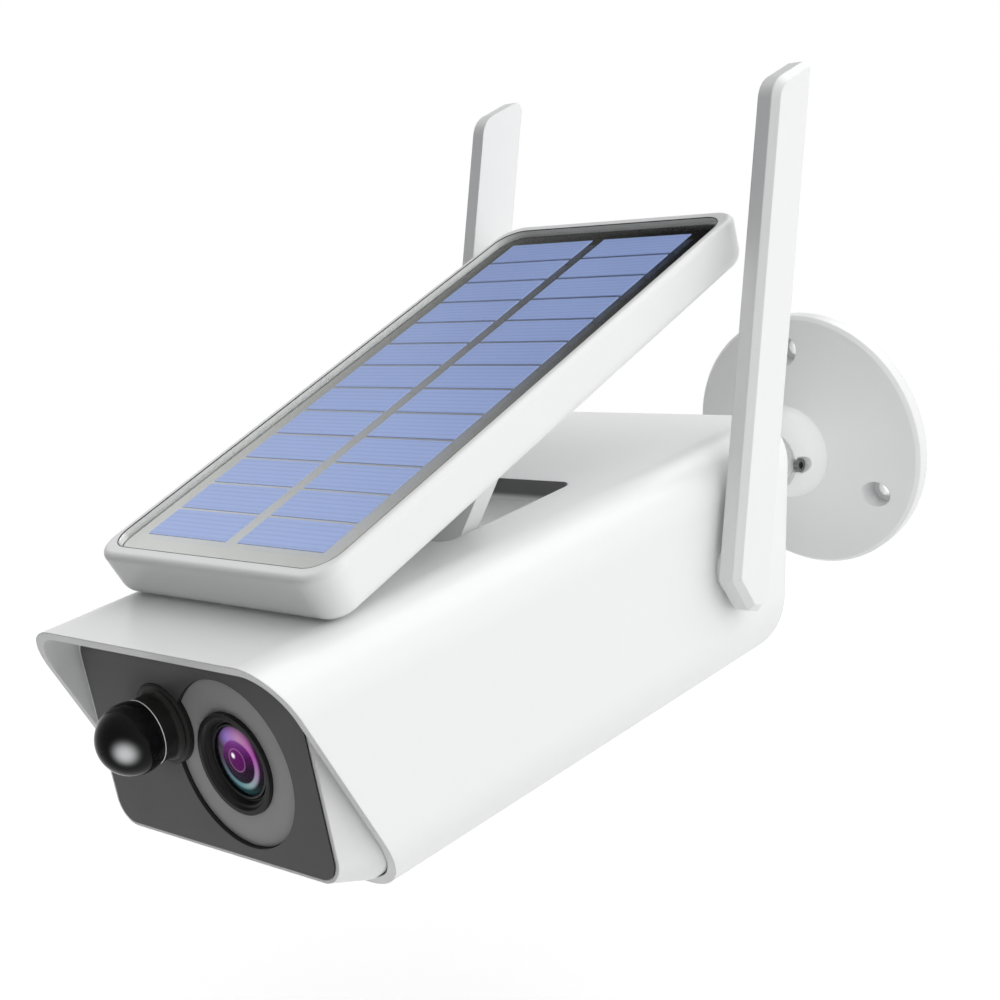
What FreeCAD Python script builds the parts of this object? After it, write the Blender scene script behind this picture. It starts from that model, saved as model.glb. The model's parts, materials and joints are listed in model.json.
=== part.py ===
import FreeCAD, Part
import math
import os

import Sketcher

# Solar-powered security camera.
# Frame: the origin is the centre of the wall plate's back face, the wall is the plane Y = 0 and
# the camera looks along -Y.  +Z is up, +X is the camera's own left (the viewer's right).
# "Reach" means distance from the wall, so a point at reach r has Y = -r.

os.makedirs("parts", exist_ok=True)
doc = FreeCAD.newDocument("solar_camera")
sheet = doc.addObject("Spreadsheet::Sheet", "Sizes")

SIZES = {
    # wall plate and its ball socket
    "plate_rim_radius": 38.0,
    "plate_front_radius": 37.0,
    "plate_rim_thickness": 4.7,
    "plate_rim_bevel": 1.1,
    "cone_top_radius": 13.9,
    "cone_top_reach": 14.0,
    "dome_radius": 14.0,
    "dome_centre_reach": 12.5,
    "dome_height": 10.9,
    "ball_reach": 16.0,
    "ball_radius": 8.0,
    "liner_radius": 9.6,
    "running_gap": 0.05,
    "socket_flare_angle": 52.0,
    "liner_flare_angle": 47.0,
    "liner_back_angle": 150.0,
    "wall_hole_circle_radius": 28.2,
    "wall_hole_radius": 2.25,
    "wall_head_radius": 3.9,
    "wall_web_thickness": 2.5,
    "clamp_reach": 22.0,
    "clamp_z": -1.6,
    "clamp_radius": 2.0,
    "clamp_recess_radius": 2.5,
    "clamp_recess_depth": 0.6,
    "clamp_length": 1.3,
    "clamp_socket_radius": 1.15,
    "clamp_socket_depth": 0.9,
    # ball stud
    "neck_radius": 3.2,
    "neck_taper_start": 31.0,
    "neck_taper_end": 42.0,
    "arm_radius": 7.0,
    "arm_root_fillet": 3.0,
    "flange_reach": 72.0,
    "flange_thickness": 3.0,
    "flange_radius": 15.5,
    "flange_screw_circle": 12.5,
    "flange_hole_radius": 1.5,
    "flange_screw_radius": 1.2,
    "flange_screw_length": 11.0,
    "flange_head_radius": 2.1,
    "flange_head_height": 1.6,
    # outer shell
    "shell_front_reach": 242.0,
    "shell_rear_reach": 71.3,
    "shell_half_width": 44.0,
    "shell_top": 28.0,
    "shell_bottom": -30.0,
    "shell_top_radius": 11.6,
    "shell_bottom_radius": 15.0,
    "shell_wall": 2.0,
    "front_rake": 0.4,
    "rear_rake": 0.294,
    # fold-away pocket for the panel bracket
    "pocket_half_width": 21.3,
    "pocket_front_reach": 172.0,
    "pocket_rear_reach": 128.5,
    "pocket_depth": 5.7,
    "pocket_corner_radius": 3.5,
    # rear cap
    "cap_thickness": 4.0,
    "cap_inset": 1.5,
    "cap_gap": 0.1,
    "cap_boss_radius": 16.5,
    "cap_boss_size": 4.2,
    "cap_boss_length": 16.0,
    "cap_screw_radius": 1.2,
    "cap_head_radius": 2.3,
    "cap_head_height": 1.4,
    "cap_head_sink": 0.6,
    "cap_screw_length": 14.0,
    "cap_seat_depth": 14.0,
    # front housing
    "nose_front_reach": 232.5,
    "nose_half_width": 38.2,
    "nose_top": 24.4,
    "nose_bottom": -22.5,
    "nose_radius": 6.0,
    "nose_root_reach": 222.0,
    "housing_gap": 0.4,
    "housing_end_reach": 180.0,
    "housing_front_wall_reach": 228.0,
    "cavity_half_width": 37.2,
    "cavity_top": 22.0,
    "cavity_bottom": -21.0,
    "housing_wall": 2.0,
    "post_radius": 2.6,
    "board_screw_radius": 0.9,
    "board_screw_length": 8.4,
    "board_screw_head_radius": 1.7,
    "board_screw_head_height": 1.1,
    # front panel, lens and motion sensor
    "panel_face_reach": 232.8,
    "panel_thickness": 2.7,
    "panel_half_width": 37.2,
    "panel_top": 23.4,
    "panel_bottom": -21.6,
    "panel_radius": 5.0,
    "lens_x": 10.8,
    "lens_z": 0.0,
    "ring_radius": 18.8,
    "ring_face_reach": 231.8,
    "bezel_radius": 11.35,
    "bezel_bore_radius": 8.6,
    "bezel_lip_radius": 10.3,
    "bezel_tail_reach": 224.5,
    "bezel_step_depth": 0.7,
    "bezel_step_width": 0.9,
    "bezel_floor_depth": 1.9,
    "bezel_floor_width": 0.35,
    "barrel_head_radius": 8.4,
    "barrel_thread_radius": 6.0,
    "barrel_bore_radius": 5.0,
    "barrel_face_reach": 231.2,
    "barrel_step_reach": 222.5,
    "barrel_tail_reach": 208.0,
    "lens_radius": 7.9,
    "lens_rim_thickness": 1.2,
    "lens_bulge": 1.4,
    "camera_board_reach": 204.0,
    "camera_board_side": 32.0,
    "board_corner_inset": 2.8,
    "board_hole_radius": 1.1,
    "board_thickness": 1.6,
    "holder_side": 17.0,
    "holder_face_reach": 217.0,
    "sensor_side": 8.5,
    "sensor_thickness": 1.1,
    "holder_room_side": 11.6,
    "holder_room_depth": 3.0,
    "pir_x": -11.3,
    "pir_z": 6.0,
    "pir_flange_radius": 9.2,
    "pir_flange_reach": 233.4,
    "pir_neck_radius": 7.35,
    "pir_ball_radius": 7.94,
    "pir_ball_reach": 240.8,
    "pir_seam_reach": 237.8,
    "pir_bore_radius": 6.0,
    "pir_wall": 0.8,
    "pir_can_radius": 4.6,
    "pir_can_height": 4.2,
    "pir_brim": 0.6,
    "pir_brim_height": 0.5,
    "pir_board_reach": 231.0,
    "pir_board_thickness": 1.2,
    "pir_rim_bevel": 0.5,
    "pir_neck_fillet": 1.6,
    "led_circle_radius": 14.4,
    "led_radius": 1.5,
    "led_gap": 0.2,
    "led_board_border": 3.2,
    "led_height": 2.6,
    "led_board_reach": 225.6,
    "led_board_thickness": 1.2,
    # power, circuit board and sound
    "cell_radius": 9.0,
    "cell_length": 65.0,
    "cell_spacing": 19.4,
    "cell_front_reach": 172.0,
    "cell_height": -6.0,
    "holder_wall": 1.8,
    "holder_play": 0.3,
    "holder_side_gap": 0.2,
    "wing_front": 13.0,
    "wing_length": 39.0,
    "cell_bevel": 0.8,
    "main_board_width": 62.0,
    "main_board_length": 70.0,
    "main_board_front_reach": 174.0,
    "main_board_bottom": -21.5,
    "speaker_radius": 9.5,
    "speaker_height": 4.5,
    "magnet_radius": 5.2,
    "magnet_height": 1.5,
    "speaker_reach": 116.0,
    "speaker_x": -16.0,
    "microphone_radius": 2.5,
    "microphone_height": 1.6,
    "microphone_reach": 176.5,
    "microphone_x": -24.0,
    "microphone_hole_radius": 0.6,
    "grille_hole_radius": 0.9,
    "grille_circle_radius": 5.0,
    # service flap under the shell
    "flap_length": 26.0,
    "flap_width": 13.0,
    "flap_thickness": 1.8,
    "flap_front_reach": 150.0,
    "flap_gap": 0.2,
    "flap_seat_border": 3.0,
    "flap_seat_thickness": 3.6,
    "flap_seat_corner": 0.4,
    "port_gap": 0.6,
    "port_width": 9.0,
    "port_depth": 3.2,
    "port_x": 4.5,
    "port_sheet": 0.4,
    "port_mouth_depth": 4.0,
    "port_tongue_width": 6.4,
    "switch_side": 6.0,
    "button_x": -5.5,
    "button_radius": 2.0,
    "button_flange_radius": 2.9,
    "button_flange_thickness": 0.9,
    "button_flange_gap": 0.1,
    "button_bottom": -28.0,
    "button_top": -24.5,
    "port_bottom": -27.6,
    "switch_bottom": -23.9,
    # antennas
    "antenna_pivot_reach": 103.5,
    "antenna_pivot_z": -0.6,
    "antenna_lean": 22.0,
    "antenna_inner_x": 46.0,
    "antenna_thickness": 5.5,
    "antenna_width": 14.3,
    "antenna_rise": 123.7,
    "antenna_drop": 9.9,
    "antenna_edge_bevel": 1.6,
    "antenna_foot_bevel": 3.0,
    "antenna_foot_run": 7.3,
    "antenna_foot_slope": 6.7,
    "antenna_head_angle": 33.0,
    "antenna_head_front_radius": 7.0,
    "antenna_head_rear_radius": 2.0,
    "antenna_skin": 1.0,
    "pivot_radius": 2.5,
    "pivot_washer_radius": 6.0,
    "pivot_nut_radius": 4.5,
    "pivot_nut_thickness": 3.0,
    "pivot_end_gap": 0.2,
    "pivot_seat_gap": 0.02,
    "pivot_washer_play": 0.1,
    # panel bracket
    "bracket_pivot_reach": 165.1,
    "bracket_pivot_z": 24.8,
    "bracket_angle": 43.5,
    "bracket_length": 27.83,
    "bracket_half_width": 19.0,
    "bracket_thickness": 4.0,
    "bracket_tongue_half_width": 12.0,
    "bracket_lug_gap": 0.8,
    "hinge_pin_radius": 1.2,
    # solar panel
    "solar_tilt": 15.29,
    "frame_width": 79.0,
    "frame_length": 158.0,
    "frame_corner_radius": 7.5,
    "frame_draft": 1.5,
    "frame_lip": 0.4,
    "frame_depth": 12.0,
    "frame_top_radius": 1.6,
    "frame_bottom_radius": 4.0,
    "glass_width": 73.6,
    "glass_length": 150.7,
    "glass_radius": 6.5,
    "glass_thickness": 0.5,
    "glass_gap": 0.1,
    "cell_sheet_thickness": 1.0,
    "silicon_thickness": 0.12,
    "frame_floor": 2.0,
    "frame_ledge": 4.0,
    "lug_inner_x": 12.3,
    "lug_outer_x": 17.3,
    "lug_radius": 2.3,
    "lug_pin_depth": 3.6,
    "lug_forward": 2.0,
    "solar_rows": 13,
    "solar_columns": 2,
    "solar_side_margin": 6.8,
    "solar_end_margin": 6.9,
    "solar_column_gap": 4.0,
    "solar_row_gap": 0.9,
}

for row, (alias, number) in enumerate(SIZES.items(), start=1):
    sheet.set("A%d" % row, alias)
    sheet.set("B%d" % row, str(number))
    sheet.setAlias("B%d" % row, alias)
doc.recompute()


def size(expression):
    """The number a sheet expression stands for."""
    result = sheet.evalExpression(expression)
    return float(getattr(result, "Value", result))


def linked(expression):
    """The same expression written so that other objects can follow the sheet."""
    words = sorted(SIZES, key=len, reverse=True)
    out = ""
    token = ""
    for letter in str(expression) + " ":
        if letter.isalnum() or letter == "_":
            token += letter
            continue
        out += "Sizes." + token if token in words else token
        token = ""
        out += letter
    return out.strip()


nodes = {}


def publish(name, thing):
    """Registers a finished sub-part under its file name."""
    thing.Label = name
    nodes[name] = thing
    return thing


# ---------------------------------------------------------------- sketch helpers

PLANES = {"front": "XZ_Plane", "side": "YZ_Plane", "top": "XY_Plane"}


def new_body(name):
    return doc.addObject("PartDesign::Body", name + "_body")


def new_sketch(body, plane, distance="0"):
    """A sketch on one of the body's own planes, moved along the plane's normal.
    front: x is +X, y is +Z, normal -Y.  side: x is +Y, y is +Z, normal +X.  top: normal +Z."""
    sketch = body.newObject("Sketcher::SketchObject", body.Name + "_sketch")
    role = PLANES[plane]
    support = [item for item in body.Origin.OriginFeatures if item.Role == role][0]
    sketch.AttachmentSupport = [(support, "")]
    sketch.MapMode = "FlatFace"
    sketch.AttachmentOffset = FreeCAD.Placement()
    sketch.setExpression("AttachmentOffset.Base.z", "(%s) * 1 mm" % linked(distance))
    return sketch


def bind(sketch, constraint, expression, unit="1 mm"):
    """Adds a sketch constraint whose value follows the sheet."""
    index = sketch.addConstraint(constraint)
    sketch.setExpression("Constraints[%d]" % index, "(%s) * %s" % (linked(expression), unit))


def pin_point(sketch, geometry, position, across, along):
    """Ties a point of the sketch to two sheet expressions measured from the sketch origin."""
    bind(sketch, Sketcher.Constraint("DistanceX", -1, 1, geometry, position, size(across)), across)
    bind(sketch, Sketcher.Constraint("DistanceY", -1, 1, geometry, position, size(along)), along)


def circle(sketch, across, along, radius):
    centre = FreeCAD.Vector(size(across), size(along), 0)
    index = sketch.addGeometry(Part.Circle(centre, FreeCAD.Vector(0, 0, 1), size(radius)), False)
    bind(sketch, Sketcher.Constraint("Radius", index, size(radius)), radius)
    pin_point(sketch, index, 3, across, along)


def arc_middle(start, end, radius, side):
    """The middle point of the minor arc from start to end; side picks which way it bulges."""
    chord = end - start
    half = chord.Length / 2
    sagitta = radius - math.sqrt(max(radius * radius - half * half, 0))
    normal = FreeCAD.Vector(chord.y, -chord.x, 0)
    normal.normalize()
    return (start + end) * 0.5 + normal * (sagitta * side)


def outline(sketch, corners):
    """A closed outline.  Each corner is (x, y) followed by an optional (radius, side) that makes
    the edge leaving it a minor arc; side +1 bulges to the right of the direction of travel."""
    points = [FreeCAD.Vector(size(c[0]), size(c[1]), 0) for c in corners]
    first = None
    for number, corner in enumerate(corners):
        start = points[number]
        end = points[(number + 1) % len(points)]
        if len(corner) > 2:
            radius, side = corner[2]
            middle = arc_middle(start, end, size(radius), side)
            arc = Part.Arc(start, middle, end)
            index = sketch.addGeometry(arc, False)
            forward = sketch.getPoint(index, 1).distanceToPoint(start) < 1e-4
            ends = (1, 2) if forward else (2, 1)
            bind(sketch, Sketcher.Constraint("Radius", index, size(radius)), radius)
        else:
            index = sketch.addGeometry(Part.LineSegment(start, end), False)
            ends = (1, 2)
        if first is None:
            first = (index, ends[0])
        else:
            sketch.addConstraint(Sketcher.Constraint("Coincident", last[0], last[1], index, ends[0]))
        pin_point(sketch, index, ends[0], corner[0], corner[1])
        last = (index, ends[1])
    sketch.addConstraint(Sketcher.Constraint("Coincident", last[0], last[1], first[0], first[1]))


def round_box(sketch, left, right, bottom, top, bottom_radius, top_radius):
    """A rectangle with rounded corners, drawn anticlockwise."""
    low, high = bottom_radius, top_radius
    outline(sketch, [
        ("%s + %s" % (left, low), bottom),
        ("%s - %s" % (right, low), bottom, (low, 1)),
        (right, "%s + %s" % (bottom, low)),
        (right, "%s - %s" % (top, high), (high, 1)),
        ("%s - %s" % (right, high), top),
        ("%s + %s" % (left, high), top, (high, 1)),
        (left, "%s - %s" % (top, high)),
        (left, "%s + %s" % (bottom, low), (low, 1)),
    ])


def feature(body, kind, sketch, length=None, reverse=False, both_ways=False):
    """A PartDesign feature on a sketch; without a length it goes through everything."""
    item = body.newObject("PartDesign::" + kind, body.Name + "_" + kind)
    item.Profile = sketch
    if length is None:
        item.Type = 1
    else:
        item.setExpression("Length", "(%s) * 1 mm" % linked(length))
    item.Reversed = reverse
    item.Midplane = both_ways
    sketch.Visibility = False
    doc.recompute()
    return item


def revolve(body, sketch, axis, kind="Revolution"):
    item = body.newObject("PartDesign::" + kind, body.Name + "_" + kind)
    item.Profile = sketch
    item.ReferenceAxis = (sketch, [axis])
    item.Angle = 360
    sketch.Visibility = False
    doc.recompute()
    return item


def dress(body, kind, edges, amount):
    """A fillet or chamfer on edges of the body's current tip."""
    tip = body.Tip
    item = body.newObject("PartDesign::" + kind, body.Name + "_" + kind)
    item.Base = (tip, edges)
    item.setExpression("Radius" if kind == "Fillet" else "Size", "(%s) * 1 mm" % linked(amount))
    doc.recompute()
    return item


def edges_where(body, test):
    """Names of the tip's edges whose every vertex and middle point pass the test."""
    names = []
    for number, edge in enumerate(body.Tip.Shape.Edges, start=1):
        middle = edge.valueAt((edge.FirstParameter + edge.LastParameter) / 2)
        if all(test(p) for p in [v.Point for v in edge.Vertexes] + [middle]):
            names.append("Edge%d" % number)
    return names


def move(thing, x="0", y="0", z="0", angle=0.0, axis=(1, 0, 0)):
    """Places a finished body; its own origin goes to (x, y, z)."""
    turn = FreeCAD.Rotation(FreeCAD.Vector(*axis), angle)
    thing.Placement = FreeCAD.Placement(FreeCAD.Vector(size(x), size(y), size(z)), turn)


def box(name, left, right, rear, front, bottom, top):
    """A block between two X, two reaches (rear nearer the wall) and two heights."""
    item = doc.addObject("Part::Box", name)
    item.setExpression("Length", "(%s) * 1 mm" % linked("(%s) - (%s)" % (right, left)))
    item.setExpression("Width", "(%s) * 1 mm" % linked("(%s) - (%s)" % (front, rear)))
    item.setExpression("Height", "(%s) * 1 mm" % linked("(%s) - (%s)" % (top, bottom)))
    item.setExpression("Placement.Base.x", "(%s) * 1 mm" % linked(left))
    item.setExpression("Placement.Base.y", "-(%s) * 1 mm" % linked(front))
    item.setExpression("Placement.Base.z", "(%s) * 1 mm" % linked(bottom))
    return item


AXES = {
    "x": FreeCAD.Rotation(FreeCAD.Vector(0, 1, 0), 90),
    "y": FreeCAD.Rotation(FreeCAD.Vector(1, 0, 0), -90),
    "z": FreeCAD.Rotation(),
}


def rod(name, axis, x, reach, z, radius, length):
    """A cylinder that starts at (x, -reach, z) and runs along +axis."""
    item = doc.addObject("Part::Cylinder", name)
    item.Placement = FreeCAD.Placement(FreeCAD.Vector(0, 0, 0), AXES[axis])
    item.setExpression("Radius", "(%s) * 1 mm" % linked(radius))
    item.setExpression("Height", "(%s) * 1 mm" % linked(length))
    item.setExpression("Placement.Base.x", "(%s) * 1 mm" % linked(x))
    item.setExpression("Placement.Base.y", "-(%s) * 1 mm" % linked(reach))
    item.setExpression("Placement.Base.z", "(%s) * 1 mm" % linked(z))
    return item


def cut(name, base, *tools):
    item = doc.addObject("Part::Cut", name)
    item.Base = base
    item.Tool = tools[0] if len(tools) == 1 else fuse(name + "_tools", *tools)
    return item


# Sheet names of the screw heads, and a head's round, socket radius and socket depth as parts of
# its height, radius and height.
HEAD_SIZES = {"flange": "flange_head", "cap": "cap_head", "board": "board_screw_head"}
SCREW_ROUND = 0.35
SCREW_SOCKET = 0.48
SCREW_SOCKET_DEPTH = 0.55


def fuse(name, *pieces):
    item = doc.addObject("Part::MultiFuse", name)
    item.Shapes = list(pieces)
    return item


def screw_shape(kind):
    """A pan-head screw along +Z: head below the origin, shank above, hexagon socket.
    kind picks the sheet sizes, such as cap_head_radius for kind "cap"."""
    head_radius = size(HEAD_SIZES[kind] + "_radius")
    head_height = size(HEAD_SIZES[kind] + "_height")
    head = Part.makeCylinder(head_radius, head_height, FreeCAD.Vector(0, 0, -head_height))
    rim = [e for e in head.Edges if abs(e.CenterOfMass.z + head_height) < 1e-6 and e.Closed]
    head = head.makeFillet(head_height * SCREW_ROUND, rim)
    corners = []
    for number in range(7):
        angle = math.radians(60 * number)
        corner = FreeCAD.Vector(math.cos(angle), math.sin(angle), 0) * head_radius * SCREW_SOCKET
        corners.append(corner - FreeCAD.Vector(0, 0, head_height))
    depth = FreeCAD.Vector(0, 0, head_height * SCREW_SOCKET_DEPTH)
    socket = Part.Face(Part.makePolygon(corners)).extrude(depth)
    shank = Part.makeCylinder(size(kind + "_screw_radius"), size(kind + "_screw_length"))
    return head.cut(socket).fuse(shank).removeSplitter()


def group(name, shapes):
    item = doc.addObject("Part::Feature", name + "_group")
    item.Shape = Part.makeCompound(shapes)
    return publish(name, item)


# ---------------------------------------------------------------- wall plate

def polar(radius, angle):
    """Two sheet expressions for a point on a circle about the origin; angle is an expression."""
    return "%s * cos((%s) * 1 deg)" % (radius, angle), "%s * sin((%s) * 1 deg)" % (radius, angle)


WALL_HOLE_ANGLES = (90, 210, 330)


def cone_angle_point(radius, angle):
    """Expressions for a point at this angle from the -Y axis on a sphere about the ball."""
    across = "%s * sin(%s * 1 deg)" % (radius, angle)
    reach = "-(ball_reach + %s * cos(%s * 1 deg))" % (radius, angle)
    return across, reach


def make_wall_plate():
    """Shallow cone with a domed ball socket, three counterbored wall holes."""
    body = new_body("wall_plate")
    profile = new_sketch(body, "top")
    dome_end = "(dome_centre_reach + dome_height)"
    rim_radius = "sqrt(dome_radius * dome_radius - dome_height * dome_height)"
    outline(profile, [
        ("0", "0"),
        ("plate_rim_radius", "0"),
        ("plate_rim_radius", "-(plate_rim_thickness - plate_rim_bevel)"),
        ("plate_front_radius", "-plate_rim_thickness"),
        ("cone_top_radius", "-cone_top_reach", ("dome_radius", -1)),
        (rim_radius, "-" + dome_end),
        ("0", "-" + dome_end),
    ])
    revolve(body, profile, "V_Axis")
    seat = new_sketch(body, "top")
    socket = "(liner_radius + running_gap)"
    mouth = cone_angle_point(socket, "socket_flare_angle")
    wide, beyond = cone_angle_point(socket + " * 2", "socket_flare_angle")
    outline(seat, [
        ("0", "-(ball_reach - %s)" % socket, (socket, -1)),
        (socket, "-ball_reach", (socket, -1)),
        mouth,
        (wide, beyond),
        ("0", beyond),
    ])
    revolve(body, seat, "V_Axis", "Groove")
    holes = new_sketch(body, "front")
    heads = new_sketch(body, "front", "wall_web_thickness")
    for angle in WALL_HOLE_ANGLES:
        x, z = polar("wall_hole_circle_radius", angle)
        circle(holes, x, z, "wall_hole_radius")
        circle(heads, x, z, "wall_head_radius")
    feature(body, "Pocket", holes, reverse=True)
    feature(body, "Pocket", heads, reverse=True)
    clamp = new_sketch(body, "side")
    circle(clamp, "-clamp_reach", "clamp_z", "clamp_radius")
    feature(body, "Pocket", clamp, "dome_radius", reverse=True)
    recess = new_sketch(body, "side", clamp_end() + " - clamp_recess_depth")
    circle(recess, "-clamp_reach", "clamp_z", "clamp_recess_radius")
    feature(body, "Pocket", recess, "dome_radius", reverse=True)
    publish("wall_plate", body)


def clamp_start():
    """X of the clamp screw's inner end, where it meets the liner's outer sphere."""
    along = "(clamp_reach - ball_reach)"
    near = "(sqrt(%s * %s + clamp_z * clamp_z) - clamp_radius)" % (along, along)
    outside = "(liner_radius + running_gap)"
    return "sqrt(%s * %s - %s * %s)" % (outside, outside, near, near)


def clamp_end():
    return "(%s + clamp_length)" % clamp_start()


def make_clamp_screw():
    """Grub screw that pinches the ball liner, with a hexagon socket."""
    shank = rod("clamp_shank", "x", clamp_start(), "clamp_reach", "clamp_z", "clamp_radius",
                "clamp_length")
    socket = doc.addObject("Part::Prism", "clamp_socket")
    socket.Polygon = 6
    socket.Circumradius = size("clamp_socket_radius")
    socket.Height = size("clamp_length")
    bottom = FreeCAD.Vector(
        size(clamp_end() + " - clamp_socket_depth"), -size("clamp_reach"), size("clamp_z"))
    socket.Placement = FreeCAD.Placement(bottom, AXES["x"])
    publish("clamp_screw", cut("clamp_screw_cut", shank, socket))


def make_ball_liner():
    """Friction liner between ball and socket, open in front and behind."""
    body = new_body("ball_liner")
    profile = new_sketch(body, "top")
    inner = "(ball_radius + running_gap)"
    front_in = cone_angle_point(inner, "liner_flare_angle")
    front_out = cone_angle_point("liner_radius", "liner_flare_angle")
    back_in = cone_angle_point(inner, "liner_back_angle")
    back_out = cone_angle_point("liner_radius", "liner_back_angle")
    outline(profile, [
        front_in + ((inner, 1),),
        (inner, "-ball_reach", (inner, 1)),
        back_in,
        back_out + (("liner_radius", -1),),
        ("liner_radius", "-ball_reach", ("liner_radius", -1)),
        front_out,
    ])
    revolve(body, profile, "V_Axis")
    publish("ball_liner", body)


def make_ball_stud():
    """Ball, waisted neck, arm and screwed flange in one turning."""
    body = new_body("ball_stud")
    profile = new_sketch(body, "top")
    neck_start = "-(ball_reach + sqrt(ball_radius * ball_radius - neck_radius * neck_radius))"
    outline(profile, [
        ("0", "-(ball_reach - ball_radius)", ("ball_radius", -1)),
        ("ball_radius", "-ball_reach", ("ball_radius", -1)),
        ("neck_radius", neck_start),
        ("neck_radius", "-neck_taper_start"),
        ("arm_radius", "-neck_taper_end"),
        ("arm_radius", "-flange_reach + arm_root_fillet", ("arm_root_fillet", 1)),
        ("arm_radius + arm_root_fillet", "-flange_reach"),
        ("flange_radius", "-flange_reach"),
        ("flange_radius", "-(flange_reach + flange_thickness)"),
        ("0", "-(flange_reach + flange_thickness)"),
    ])
    revolve(body, profile, "V_Axis")
    holes = new_sketch(body, "front", "flange_reach - 1")
    for angle in WALL_HOLE_ANGLES:
        x, z = polar("flange_screw_circle", angle)
        circle(holes, x, z, "flange_hole_radius")
    feature(body, "Pocket", holes, "flange_thickness + 2", reverse=True)
    publish("ball_stud", body)


# ---------------------------------------------------------------- housing

# Cap screw positions at the right-hand side: (x, z), mirrored to the left.
CAP_SCREWS = (("38.2", "17.5"), ("37.2", "-20"))


def rear_height_reach(height):
    """Reach of the shell's raked rear end at a height given as an expression."""
    return "(shell_rear_reach + rear_rake * (shell_top - (%s)))" % height


def cut_rear(body, inset):
    """Removes everything behind a plane parallel to the shell's raked rear end."""
    wedge = new_sketch(body, "side")
    outline(wedge, [
        ("-(%s + %s)" % (rear_height_reach("shell_top + 10"), inset), "shell_top + 10"),
        ("-(%s + %s)" % (rear_height_reach("shell_bottom - 10"), inset), "shell_bottom - 10"),
        ("60", "shell_bottom - 10"),
        ("60", "shell_top + 10"),
    ])
    feature(body, "Pocket", wedge, "3 * shell_half_width", both_ways=True)


def cut_front(body, reach):
    """Removes everything in front of a plane parallel to the shell's raked rear end."""
    high = "(%s - rear_rake * 10)" % reach
    low = "(%s + rear_rake * (shell_top - shell_bottom + 10))" % reach
    wedge = new_sketch(body, "side")
    outline(wedge, [
        ("-" + high, "shell_top + 10"),
        ("-shell_front_reach - 60", "shell_top + 10"),
        ("-shell_front_reach - 60", "shell_bottom - 10"),
        ("-" + low, "shell_bottom - 10"),
    ])
    feature(body, "Pocket", wedge, "3 * shell_half_width", both_ways=True)


def shell_section(sketch, inset):
    round_box(
        sketch,
        "-(shell_half_width - %s)" % inset, "(shell_half_width - %s)" % inset,
        "(shell_bottom + %s)" % inset, "(shell_top - %s)" % inset,
        "(shell_bottom_radius - %s)" % inset, "(shell_top_radius - %s)" % inset)


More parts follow.
